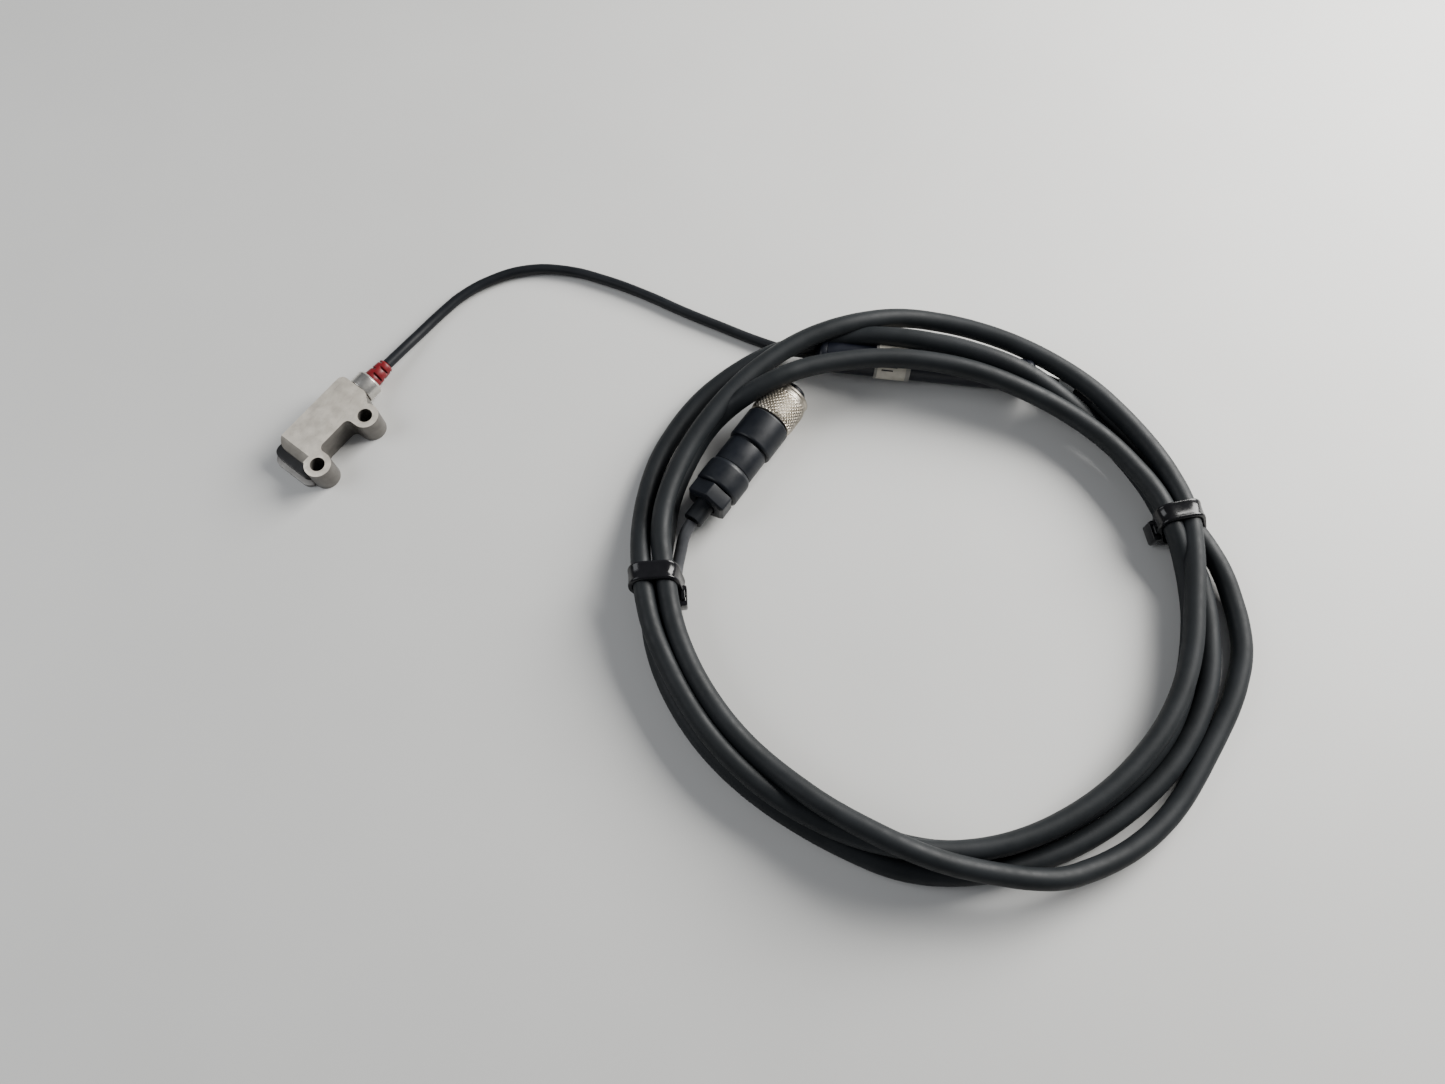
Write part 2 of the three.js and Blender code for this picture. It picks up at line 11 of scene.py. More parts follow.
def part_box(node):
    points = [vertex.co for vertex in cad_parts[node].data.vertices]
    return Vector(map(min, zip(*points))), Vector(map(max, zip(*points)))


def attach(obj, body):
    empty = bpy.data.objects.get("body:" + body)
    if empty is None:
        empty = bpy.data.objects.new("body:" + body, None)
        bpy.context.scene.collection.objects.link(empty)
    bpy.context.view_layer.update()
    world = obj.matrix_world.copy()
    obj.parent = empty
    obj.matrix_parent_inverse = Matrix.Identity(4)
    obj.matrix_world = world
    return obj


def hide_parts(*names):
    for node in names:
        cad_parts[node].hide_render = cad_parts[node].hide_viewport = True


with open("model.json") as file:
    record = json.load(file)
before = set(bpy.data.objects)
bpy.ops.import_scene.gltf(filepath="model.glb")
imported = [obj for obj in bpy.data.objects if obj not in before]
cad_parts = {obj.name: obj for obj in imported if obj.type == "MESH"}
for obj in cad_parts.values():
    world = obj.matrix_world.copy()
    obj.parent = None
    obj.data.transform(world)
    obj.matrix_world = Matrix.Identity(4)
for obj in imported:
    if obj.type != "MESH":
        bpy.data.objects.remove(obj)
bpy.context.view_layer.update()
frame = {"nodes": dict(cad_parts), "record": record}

MM = 0.001

# ---- Driving dimensions, in millimetres and degrees ----
HEAD_HEIGHT = 9.0
NECK_Y = 3.2
NECK_Z = 4.5
BOOT_START = 15.5
BOOT_END = 22.4
THIN_CABLE = 3.3
LEAD_CABLE = 3.6
THICK_CABLE = 6.0
COIL_CENTRE = Vector((67.5, -169.0, 0.0))
AMP_ANGLE = -59.7
AMP_RADIUS = 5.1
AMP_LENGTH = 69.0
PLUG_ANGLE = 1.6
TIE_LEFT = 130.0
TIE_RIGHT = 318.0
TIE_WIDTH = 5.4
TIE_STRAP = 1.15
TIE_TOP = 13.0
TIE_HEAD_LOW = 1.6

# ---- Camera, in metres; its lens in millimetres ----
CAMERA_PLACE = Vector((-0.0512, -0.1849, 0.3053))
CAMERA_TARGET = Vector((0.0399, -0.1161, 0.0))
CAMERA_LENS = 27.04
CAMERA_SENSOR = 36.0
CAMERA_NEAREST = 0.01


def add_camera():
    data = bpy.data.cameras.new("camera")
    data.lens = CAMERA_LENS
    data.sensor_width = CAMERA_SENSOR
    data.clip_start = CAMERA_NEAREST
    camera = bpy.data.objects.new("camera", data)
    camera.location = CAMERA_PLACE
    camera.rotation_euler = (CAMERA_TARGET - CAMERA_PLACE).to_track_quat("-Z", "Y").to_euler()
    bpy.context.collection.objects.link(camera)
    bpy.context.scene.camera = camera


add_camera()


# ---- Node material helpers; noise scales are per metre, bump distances in metres ----


class Nodes:
    """Short ways to add nodes to one material."""

    def __init__(self, name, **shader):
        self.material = bpy.data.materials.new(name)
        self.material.use_nodes = True
        self.tree = self.material.node_tree
        self.shader = self.tree.nodes["Principled BSDF"]
        for key, value in shader.items():
            self.shader.inputs[key.replace("_", " ")].default_value = value
        texture = self.tree.nodes.new("ShaderNodeTexCoord")
        self.coordinates = texture.outputs["Object"]
        self.normal = texture.outputs["Normal"]

    def link(self, source, target):
        self.tree.links.new(source, target)

    def scaled(self, scale):
        mapping = self.tree.nodes.new("ShaderNodeMapping")
        mapping.inputs["Scale"].default_value = scale
        self.link(self.coordinates, mapping.inputs["Vector"])
        return mapping.outputs["Vector"]

    def noise(self, scale, detail=3.0, roughness=0.55, stretch=(1, 1, 1)):
        node = self.tree.nodes.new("ShaderNodeTexNoise")
        node.inputs["Scale"].default_value = scale
        node.inputs["Detail"].default_value = detail
        node.inputs["Roughness"].default_value = roughness
        self.link(self.scaled(stretch), node.inputs["Vector"])
        return node.outputs["Fac"]

    def cells(self, scale):
        node = self.tree.nodes.new("ShaderNodeTexVoronoi")
        node.inputs["Scale"].default_value = scale
        self.link(self.coordinates, node.inputs["Vector"])
        return node.outputs["Distance"]

    def ramp(self, value, *stops):
        """Turns a value into a colour or a grey, by (place, colour) stops."""
        node = self.tree.nodes.new("ShaderNodeValToRGB")
        elements = node.color_ramp.elements
        while len(elements) < len(stops):
            elements.new(0.5)
        for element, (place, colour) in zip(elements, stops):
            element.position = place
            element.color = (*colour, 1) if hasattr(colour, "__len__") else (colour, colour, colour, 1)
        self.link(value, node.inputs["Fac"])
        return node.outputs["Color"]

    def mix(self, factor, first, second, blend="MIX"):
        """Mixes two colours; each of the three may be a value or another node's output."""
        node = self.tree.nodes.new("ShaderNodeMix")
        node.data_type = "RGBA"
        node.blend_type = blend
        for key, value in (("Factor", factor), ("A", first), ("B", second)):
            socket = [s for s in node.inputs if s.name == key and s.enabled][0]
            if hasattr(value, "is_linked"):
                self.link(value, socket)
            elif key == "Factor":
                socket.default_value = value
            else:
                socket.default_value = (*value, 1)
        return [s for s in node.outputs if s.enabled][0]

    def colour(self, source):
        self.link(source, self.shader.inputs["Base Color"])

    def rough(self, source):
        self.link(source, self.shader.inputs["Roughness"])

    def bump(self, height, strength, distance):
        """Adds a bump on top of any that is there already."""
        node = self.tree.nodes.new("ShaderNodeBump")
        node.inputs["Strength"].default_value = strength
        node.inputs["Distance"].default_value = distance
        self.link(height, node.inputs["Height"])
        previous = self.shader.inputs["Normal"]
        if previous.is_linked:
            self.link(previous.links[0].from_socket, node.inputs["Normal"])
        self.link(node.outputs["Normal"], previous)


def moulded(name, colour, lighter, roughness, grain=2600.0, bump=0.12, **shader):
    """Matt moulded plastic or rubber: fine grain, faint blotches, a little uneven gloss."""
    n = Nodes(name, **{"Specular_IOR_Level": 0.34, **shader})
    n.colour(n.ramp(n.noise(120.0), (0.35, colour), (0.75, lighter)))
    n.rough(n.ramp(n.noise(420.0, 4.0), (0.3, roughness - 0.06), (0.7, roughness + 0.06)))
    n.bump(n.noise(grain, 2.0), strength=bump, distance=0.00006)
    return n.material


def satin_steel(name, painted_lit_top, side):
    """Blasted steel with painted light: a painted highlight where it faces up and painted shade down its
    walls, with fine pits and scuffs.
    """
    n = Nodes(name, Metallic=0.55)
    normal = n.tree.nodes.new("ShaderNodeSeparateXYZ")
    n.link(n.normal, normal.inputs["Vector"])
    # Painted light: the normal's height picks the colour, a painted highlight on faces that look up and
    # painted shade on the walls.
    painted_light_share = n.ramp(normal.outputs["Z"], (0.55, 0.0), (0.97, 1.0))
    painted_light_tone = n.mix(painted_light_share, side, painted_lit_top)
    blotches = n.ramp(n.noise(230.0, 5.0), (0.35, 0.74), (0.62, 1.0))
    pits = n.ramp(n.noise(1500.0, 2.0, 0.7), (0.22, 0.35), (0.31, 1.0))
    scuffs = n.ramp(n.noise(260.0, 6.0, 0.7, stretch=(1.0, 7.0, 1.0)), (0.30, 0.74), (0.42, 1.0))
    worn = n.mix(1.0, n.mix(1.0, blotches, pits, "MULTIPLY"), scuffs, "MULTIPLY")
    n.colour(n.mix(1.0, painted_light_tone, worn, "MULTIPLY"))
    n.rough(n.ramp(n.noise(700.0, 4.0), (0.3, 0.34), (0.75, 0.48)))
    n.bump(n.noise(4200.0, 3.0, 0.6), strength=0.22, distance=0.00004)
    n.bump(pits, strength=0.35, distance=0.00006)
    return n.material


def polished_steel():
    """Bright turned steel with fine lines round it."""
    n = Nodes("polished_steel", Metallic=1.0)
    n.colour(n.ramp(n.noise(300.0), (0.3, (0.55, 0.53, 0.49)), (0.75, (0.72, 0.70, 0.66))))
    n.rough(n.ramp(n.noise(900.0, 3.0, 0.5, stretch=(14.0, 1.0, 1.0)), (0.3, 0.28), (0.75, 0.40)))
    n.bump(n.noise(2400.0, 2.0, 0.5, stretch=(10.0, 1.0, 1.0)), strength=0.04, distance=0.00002)
    return n.material


def nickel():
    """Nickel plate, slightly yellow and a little dull."""
    n = Nodes("nickel", Metallic=1.0)
    n.colour(n.ramp(n.noise(260.0), (0.3, (0.46, 0.42, 0.35)), (0.75, (0.62, 0.575, 0.50))))
    n.rough(n.ramp(n.noise(1100.0, 3.0), (0.3, 0.34), (0.75, 0.44)))
    n.bump(n.noise(5200.0, 2.0), strength=0.06, distance=0.00002)
    return n.material


def red_rubber():
    """Deep red moulded rubber."""
    n = Nodes("red_boot", Specular_IOR_Level=0.5)
    n.colour(n.ramp(n.noise(240.0), (0.3, (0.11, 0.0015, 0.004)), (0.75, (0.17, 0.003, 0.007))))
    n.rough(n.ramp(n.noise(700.0), (0.3, 0.36), (0.7, 0.48)))
    n.bump(n.noise(3000.0), strength=0.10, distance=0.00005)
    return n.material


def jacket(name, colour, lighter, roughness):
    """Extruded cable jacket, matt: fine grain, dark specks, faint flow marks and low waves."""
    n = Nodes(name, Specular_IOR_Level=0.24)
    flow = n.noise(70.0, 5.0, 0.6)
    specks = n.ramp(n.noise(1300.0, 3.0, 0.7), (0.28, 0.80), (0.40, 1.0))
    n.colour(n.mix(1.0, n.ramp(flow, (0.35, colour), (0.72, lighter)), specks, "MULTIPLY"))
    n.rough(n.ramp(n.noise(330.0, 5.0), (0.3, roughness - 0.07), (0.72, roughness + 0.07)))
    n.bump(n.noise(1900.0, 3.0, 0.6), strength=0.20, distance=0.00008)
    n.bump(n.noise(160.0, 2.0), strength=0.15, distance=0.00030)
    return n.material


def label():
    """Beige label plate, faintly uneven. The dark bars on it are pieces of their own."""
    n = Nodes("label_beige")
    n.colour(n.ramp(n.noise(420.0, 4.0), (0.3, (0.46, 0.43, 0.36)), (0.75, (0.60, 0.565, 0.49))))
    n.rough(n.ramp(n.noise(600.0), (0.3, 0.34), (0.7, 0.48)))
    n.bump(n.noise(2200.0), strength=0.10, distance=0.00004)
    return n.material


def clear_film():
    """Cloudy clear sleeve, a little wavy."""
    n = Nodes("clear_sleeve", Transmission_Weight=0.35, IOR=1.42, Coat_Weight=0.4, Coat_Roughness=0.2)
    n.colour(n.ramp(n.noise(240.0, 4.0), (0.3, (0.58, 0.59, 0.57)), (0.75, (0.80, 0.81, 0.79))))
    n.rough(n.ramp(n.noise(700.0), (0.3, 0.24), (0.7, 0.42)))
    n.bump(n.noise(900.0, 3.0), strength=0.25, distance=0.00008)
    return n.material


def circuit_board():
    """Green board with small paler pads."""
    n = Nodes("board", Specular_IOR_Level=0.5)
    n.colour(n.ramp(n.cells(1400.0), (0.10, (0.10, 0.30, 0.15)), (0.16, (0.02, 0.11, 0.05))))
    n.rough(n.ramp(n.noise(500.0), (0.3, 0.30), (0.7, 0.42)))
    n.bump(n.cells(1400.0), strength=0.15, distance=0.00004)
    return n.material


def plated(name, first, second, rough):
    """Plain plated or drawn metal between two tones."""
    n = Nodes(name, Metallic=1.0)
    n.colour(n.ramp(n.noise(500.0), (0.3, first), (0.75, second)))
    n.rough(n.ramp(n.noise(900.0), (0.3, rough), (0.7, rough + 0.12)))
    n.bump(n.noise(2600.0), strength=0.10, distance=0.00003)
    return n.material


MATERIALS = {
    # For satin_steel and rim_steel, the first colour is a painted highlight for faces looking up and the
    # second is painted shade for their walls.
    "satin_steel": satin_steel("satin_steel", (0.80, 0.74, 0.64), (0.15, 0.14, 0.128)),
    "rim_steel": satin_steel("rim_steel", (0.26, 0.25, 0.235), (0.20, 0.19, 0.18)),
    "polished_steel": polished_steel(),
    "nickel": nickel(),
    "red_boot": red_rubber(),
    "cable_jacket": jacket("cable_jacket", (0.006, 0.007, 0.009), (0.011, 0.013, 0.016), 0.46),
    "coil_jacket": jacket("coil_jacket", (0.009, 0.011, 0.0125), (0.016, 0.0185, 0.021), 0.54),
    # The tail's jacket is painted a lighter grey than the other jackets. This is a painted sheen for the
    # light on it.
    "tail_jacket": jacket("tail_jacket", (0.045, 0.047, 0.052), (0.105, 0.107, 0.112), 0.40),
    "black_resin": moulded("black_resin", (0.006, 0.006, 0.007), (0.013, 0.013, 0.014), 0.42),
    "amplifier_black": moulded("amplifier_black", (0.003, 0.004, 0.009), (0.006, 0.008, 0.014), 0.42),
    "connector_black": moulded("connector_black", (0.004, 0.0055, 0.0085), (0.008, 0.010, 0.0145), 0.44),
    "tie_nylon": moulded("tie_nylon", (0.005, 0.005, 0.006), (0.010, 0.010, 0.012), 0.20,
                         grain=900.0, bump=0.08),
    "seal_rubber": moulded("seal_rubber", (0.012, 0.012, 0.013), (0.022, 0.022, 0.024), 0.72),
    "ferrite": moulded("ferrite", (0.030, 0.030, 0.032), (0.055, 0.055, 0.058), 0.55),
    "chip": moulded("chip", (0.010, 0.010, 0.011), (0.018, 0.018, 0.020), 0.48),
    "clip_grey": moulded("clip_grey", (0.25, 0.24, 0.22), (0.36, 0.35, 0.32), 0.34),
    "lens": moulded("lens", (0.50, 0.10, 0.02), (0.66, 0.16, 0.03), 0.18, Transmission_Weight=0.4),
    "label_beige": label(),
    "clear_sleeve": clear_film(),
    "board": circuit_board(),
    "bar_ink": moulded("bar_ink", (0.030, 0.028, 0.026), (0.055, 0.052, 0.048), 0.55),
    "gold_contact": plated("gold_contact", (0.75, 0.52, 0.20), (0.90, 0.68, 0.32), 0.18),
    "copper": plated("copper", (0.55, 0.24, 0.12), (0.74, 0.36, 0.20), 0.30),
}



# ---- Cords ----

HEAD_CABLE_ROUTE = [
    (22.5, 3.2, 4.5), (32, 3.6, 3.3), (38, 3.9, 2.4), (44, 4.0, 1.9), (50, 3.7, 1.75),
    (56, 3.0, 1.75), (67, -0.8, 1.75), (77, -7.6, 1.75), (84.5, -18, 1.75), (89.5, -31, 1.75),
    (93, -45, 1.75), (95.5, -59, 1.75), (98.3, -72, 1.75), (101.0, -84, 1.8), (103.2, -93, 2.8),
    (106.2, -101.7, 5.0), (108.2, -105.15, 5.1),
]
OUTPUT_LEAD_ROUTE = [(142.2, -163.3, 4.9), (143.8, -171.5, 4.6), (144.9, -180.6, 4.3)]
PLUG_TAIL_ROUTE = [
    (37.4, -106.7, 7.25), (33.4, -107.2, 6.3), (28.2, -109.4, 4.9), (23.2, -111.9, 4.0),
    (18.6, -115.0, 3.8),
]

# The thick cable, clockwise seen from above: [degrees about the coil's centre, radius, height].
# Degrees run on past 0, turn after turn, from the square-cut end to the end under the left tie.
COIL_TURNS = [
    [  # from the cut end, under the right tie, wide round the bottom, over the others, left side on top
        (351, 78.4, 4.2), (342, 78.6, 3.4), (333, 79.2, 3.4), (325, 80.0, 4.0), (318, 81.3, 4.4),
        (313, 83.6, 4.6), (307.6, 86.7, 4.6), (300.8, 90.0, 3.6), (292, 93.2, 3.2), (282, 93.2, 3.2),
        (275, 92.7, 3.2), (269, 92.8, 3.5), (261, 93.9, 4.0), (254, 94.4, 5.0), (248, 94.2, 6.0),
        (242, 93.4, 7.4), (237, 92.6, 9.0), (233, 91.2, 10.4), (228, 88.6, 11.4), (222, 85.9, 12.4),
        (217, 84.0, 13.6), (212, 82.1, 14.6), (207, 80.2, 15.0), (203, 78.9, 14.8), (199, 77.6, 14.1),
        (194, 76.6, 13.4), (189, 75.6, 12.6), (184, 74.8, 11.4), (178, 74.3, 10.0), (170, 74.1, 9.4),
        (160, 74.1, 9.3), (150, 74.4, 9.3), (140, 74.9, 9.8), (130, 75.4, 10.3), (122, 77.1, 10.0),
        (114, 78.0, 9.8), (105, 78.0, 9.9), (97, 77.9, 10.4), (90, 77.8, 11.2), (83, 78.0, 11.9),
        (75, 78.5, 12.3), (66, 79.2, 12.4), (60, 79.7, 12.4), (53, 80.1, 12.2), (48, 80.6, 11.5),
        (44, 81.2, 10.5), (39, 81.9, 9.2), (30, 82.1, 7.2), (21, 81.4, 6.9), (12, 80.3, 7.6),
        (3, 79.2, 8.6), (-7, 78.4, 9.6), (-16, 78.1, 9.8), (-24, 78.4, 9.9), (-32, 78.8, 10.2),
    ],
    [  # on top at the right tie, inner right side, on the others round the bottom, on top at the left
        (-42, 79.0, 10.4), (-52, 77.6, 9.9), (-62, 76.8, 9.4), (-72, 77.5, 9.2), (-86, 78.3, 9.2),
        (-101, 78.6, 9.2), (-110, 79.0, 9.1), (-119, 79.5, 9.0), (-127, 80.1, 9.0), (-135, 80.5, 9.1),
        (-143, 80.6, 9.1), (-148, 80.5, 9.1), (-153, 80.3, 9.1), (-157, 80.2, 9.0), (-161, 80.1, 8.9),
        (-170, 79.8, 8.8), (-190, 79.7, 8.8), (-204, 79.7, 8.9), (-212, 80.2, 9.3), (-220, 81.2, 9.9),
        (-229, 81.9, 10.2), (-237, 83.0, 8.2), (-246, 84.4, 4.8), (-257, 85.9, 3.2), (-265, 86.0, 3.2),
        (-272, 86.0, 3.4), (-280, 85.0, 4.4), (-288, 83.6, 5.6), (-295, 82.0, 6.4), (-300, 80.6, 6.9),
        (-303.5, 79.4, 7.5), (-307, 78.2, 8.4), (-311, 76.6, 9.6), (-316, 74.8, 10.9), (-320, 73.4, 11.6),
        (-325, 72.1, 12.2), (-329, 71.2, 12.5), (-334, 70.5, 12.8), (-339, 69.8, 13.0), (-346, 69.3, 13.1),
        (-353, 69.6, 12.0), (-360, 70.3, 9.5), (-367, 71.4, 6.7), (-375, 72.5, 4.3), (-384, 73.4, 3.4),
        (-393, 74.4, 3.8), (-402, 75.3, 4.4),
    ],
    [  # outwards under the top strand, round the bottom, inwards under the left tie, over the connector
        (-407, 77.2, 4.4), (-412.4, 79.7, 4.0), (-420, 82.1, 3.4), (-428, 84.0, 3.2), (-438, 86.1, 3.2),
        (-453, 86.9, 3.2), (-468, 86.4, 3.2), (-483, 86.3, 3.2), (-491, 86.3, 3.2), (-501, 86.2, 3.2),
        (-508, 85.8, 3.2), (-513, 85.0, 3.2), (-521, 83.2, 3.2), (-530, 82.0, 3.2), (-540, 81.6, 3.2),
        (-556, 81.8, 3.2), (-570, 81.8, 3.4), (-578, 81.4, 4.2), (-586, 79.8, 4.5), (-593, 77.0, 4.5),
        (-600, 76.5, 4.0), (-609, 77.3, 3.3), (-618, 77.5, 3.4), (-625.5, 77.5, 5.0), (-630, 76.9, 7.2),
        (-634.5, 75.2, 10.4), (-639, 73.2, 13.6), (-647, 70.6, 15.8), (-654, 69.2, 15.5),
        (-663, 67.2, 14.7), (-674, 65.4, 14.2), (-686.5, 63.8, 13.9), (-698, 63.3, 13.4),
        (-709.5, 63.7, 12.3), (-718, 64.9, 11.0), (-728, 67.0, 9.6), (-737, 68.9, 9.2), (-748, 70.9, 9.5),
        (-756, 72.6, 10.0), (-763, 73.3, 10.2), (-770, 74.8, 8.4),
    ],
    [  # down to the table under the others, ending under the left tie
        (-776, 76.6, 5.4), (-782, 78.0, 3.8), (-790, 78.9, 3.2), (-798, 79.8, 3.2), (-810, 81.0, 3.2),
        (-830, 80.3, 3.2), (-847, 80.3, 3.2), (-855, 80.2, 3.2), (-863, 80.0, 3.2), (-872, 78.8, 3.2),
        (-880, 77.0, 3.2), (-888, 75.8, 3.2), (-900, 75.4, 3.2), (-920, 75.2, 3.2), (-935, 75.2, 3.3),
        (-943, 75.2, 4.0),
    ],
]
COIL_STEP = 5.0  # degrees between the curve's points: 72 to a turn
CURVE_STEPS = 6  # pieces between one point and the next
CORD_ROUNDNESS = 7
COIL_STATIONS = [station for turn in COIL_TURNS for station in turn]


def smooth_value(degrees, column):
    """Radius (column 1) or height (column 2) at an angle, by a smooth curve through the stations."""
    last = len(COIL_STATIONS) - 1
    index = 0
    while index < last - 1 and COIL_STATIONS[index + 1][0] > degrees:
        index += 1
    near = [COIL_STATIONS[min(max(index + k, 0), last)] for k in (-1, 0, 1, 2)]
    a0, a1, a2, a3 = [station[0] for station in near]
    v0, v1, v2, v3 = [station[column] for station in near]
    span = a2 - a1
    share = (degrees - a1) / span
    slope_start = (v2 - v0) / (a2 - a0) * span
    slope_end = (v3 - v1) / (a3 - a1) * span
    square = share * share
    cube = square * share
    return ((2 * cube - 3 * square + 1) * v1 + (cube - 2 * square + share) * slope_start
            + (3 * square - 2 * cube) * v2 + (cube - square) * slope_end)


def on_coil(degrees, radius, height):
    angle = math.radians(degrees)
    return COIL_CENTRE + Vector((radius * math.cos(angle), radius * math.sin(angle), height))


def coil_route():
    """The thick cable's points, worked out turn after turn from its stations."""
    first, last = COIL_STATIONS[0][0], COIL_STATIONS[-1][0]
    count = round((first - last) / COIL_STEP)
    places = [first - (first - last) * i / count for i in range(count + 1)]
    return [on_coil(d, smooth_value(d, 1), smooth_value(d, 2)) for d in places]


def cord_curve(name, route, diameter, material):
    """A round cord along one smooth open spline through the route, given in millimetres."""
    data = bpy.data.curves.new(name, "CURVE")
    data.dimensions = "3D"
    data.resolution_u = CURVE_STEPS
    data.bevel_depth = diameter / 2 * MM
    data.bevel_resolution = CORD_ROUNDNESS
    data.use_fill_caps = True
    spline = data.splines.new("BEZIER")
    spline.bezier_points.add(len(route) - 1)
    for point, place in zip(spline.bezier_points, route):
        point.co = Vector(place) * MM
        point.handle_left_type = "AUTO"
        point.handle_right_type = "AUTO"
    data.materials.append(MATERIALS[material])
    cord = bpy.data.objects.new(name, data)
    bpy.context.collection.objects.link(cord)
    return cord


COIL = coil_route()
LEAD_ROUTE = OUTPUT_LEAD_ROUTE[:2] + [tuple(place) for place in COIL[1:3]]
TAIL_ROUTE = PLUG_TAIL_ROUTE + [tuple(place) for place in COIL[-1:-3:-1]]


def add_cord(name, route, diameter, material, node):
    cord = cord_curve(name, route, diameter, material)
    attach(cord, "sensor")
    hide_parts(node)
    return cord


head_run = add_cord("head_cable_run", HEAD_CABLE_ROUTE, THIN_CABLE, "cable_jacket", "head_cable")
thick_run = add_cord("thick_cable", COIL, THICK_CABLE, "coil_jacket", "cable_coil")
lead_run = add_cord("output_lead_run", LEAD_ROUTE, LEAD_CABLE, "cable_jacket", "output_lead")
tail_run = add_cord("plug_tail_run", TAIL_ROUTE, LEAD_CABLE, "tail_jacket", "plug_tail")


# ---- Mesh helpers; shapes are worked out in millimetres and stored in metres ----

SMOOTH_ANGLE = 32.0
SIDES = 72
FINE_SIDES = 96
SAME_PLACE = 1e-7
BEYOND = 1  # how far a tool reaches past what it cuts
CORNER_SHARE = 0.45  # most of an edge that a rounded corner takes
TO_METRES = Matrix.Scale(MM, 4)


def resmooth(piece, angle=SMOOTH_ANGLE):
    for polygon in piece.data.polygons:
        polygon.use_smooth = True
    piece.data.set_sharp_from_angle(angle=math.radians(angle))


def new_piece(name, mesh, material, smooth=SMOOTH_ANGLE):
    mesh.materials.clear()
    mesh.materials.append(MATERIALS[material])
    piece = bpy.data.objects.new(name, mesh)
    bpy.context.collection.objects.link(piece)
    resmooth(piece, smooth)
    return piece


def finish_piece(piece, slot_name, *nodes, body="sensor"):
    """Sets which body a piece rides on and hides the CAD nodes that it stands for; slot_name is not used."""
    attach(piece, body)
    if nodes:
        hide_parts(*nodes)


def mesh_from(vertices, faces, name):
    mesh = bpy.data.meshes.new(name)
    mesh.from_pydata([Vector(v) * MM for v in vertices], [], faces)
    bm = bmesh.new()
    bm.from_mesh(mesh)
    bmesh.ops.remove_doubles(bm, verts=bm.verts, dist=SAME_PLACE)
    bmesh.ops.recalc_face_normals(bm, faces=bm.faces)
    bm.to_mesh(mesh)
    bm.free()
    mesh.update()
    return mesh


def apply_modifiers(piece):
    bpy.context.view_layer.update()
    graph = bpy.context.evaluated_depsgraph_get()
    mesh = bpy.data.meshes.new_from_object(piece.evaluated_get(graph))
    piece.modifiers.clear()
    piece.data = mesh


def bevel(piece, width, segments=3, angle=35.0):
    """Rounds the edges that are sharper than the angle."""
    modifier = piece.modifiers.new("bevel", "BEVEL")
    modifier.width = width * MM
    modifier.segments = segments
    modifier.limit_method = "ANGLE"
    modifier.angle_limit = math.radians(angle)
    modifier.harden_normals = False
    apply_modifiers(piece)


def combine(piece, others, operation):
    """Adds the other shapes to the piece, or takes them away, and removes them."""
    for other in others:
        modifier = piece.modifiers.new("combine", "BOOLEAN")
        modifier.operation = operation
        modifier.solver = "EXACT"
        modifier.object = other
    apply_modifiers(piece)
    for other in others:
        bpy.data.objects.remove(other)


def cut(piece, *cutters):
    combine(piece, cutters, "DIFFERENCE")


def join(piece, *others):
    combine(piece, others, "UNION")


def arc(cx, cy, radius, start, end, steps):
    """Points on an arc, degrees."""
    angles = [math.radians(start + (end - start) * i / steps) for i in range(steps + 1)]
    return [(cx + radius * math.cos(a), cy + radius * math.sin(a)) for a in angles]


def circle(cx, cy, radius, count):
    return arc(cx, cy, radius, 0, 360, count)[:-1]


def rounded_rectangle(x0, x1, y0, y1, radius, steps=8):
    return (arc(x1 - radius, y0 + radius, radius, -90, 0, steps)
            + arc(x1 - radius, y1 - radius, radius, 0, 90, steps)
            + arc(x0 + radius, y1 - radius, radius, 90, 180, steps)
            + arc(x0 + radius, y0 + radius, radius, 180, 270, steps))


def side_faces(count):
    """Quads between two outlines of the same number of points."""
    return [(i, (i + 1) % count, count + (i + 1) % count, count + i) for i in range(count)]


def prism_mesh(outline, low, high, name):
    """The (x, y) outline drawn up from one height to another."""
    count = len(outline)
    vertices = [(x, y, low) for x, y in outline] + [(x, y, high) for x, y in outline]
    ends = [tuple(reversed(range(count))), tuple(range(count, 2 * count))]
    return mesh_from(vertices, ends + side_faces(count), name)


def extruded_mesh(section, x0, x1, place, name):
    """The (y, z) section drawn from x0 to x1 along the X axis of place."""
    count = len(section)
    vertices = [place @ Vector((x, y, z)) for x in (x0, x1) for y, z in section]
    ends = [tuple(range(count)), tuple(reversed(range(count, 2 * count)))]
    return mesh_from(vertices, ends + side_faces(count), name)


def loop_faces(rows, columns):
    """Quads of a surface closed both ways: round each row, and from the last row to the first."""
    faces = []
    for i in range(rows):
        j = (i + 1) % rows
        for k in range(columns):
            m = (k + 1) % columns
            faces.append((i * columns + k, i * columns + m, j * columns + m, j * columns + k))
    return faces


def tool_from(mesh):
    """A shape that cut or join takes up."""
    tool = bpy.data.objects.new("tool", mesh)
    bpy.context.collection.objects.link(tool)
    return tool


def box_tool(low, high, turn=None):
    corners = [(x, y, z) for z in (low[2], high[2]) for x, y in
               ((low[0], low[1]), (high[0], low[1]), (high[0], high[1]), (low[0], high[1]))]
    if turn:
        corners = [turn @ Vector(c) for c in corners]
    faces = [(3, 2, 1, 0), (4, 5, 6, 7), (0, 1, 5, 4), (1, 2, 6, 5), (2, 3, 7, 6), (3, 0, 4, 7)]
    return tool_from(mesh_from(corners, faces, "tool"))


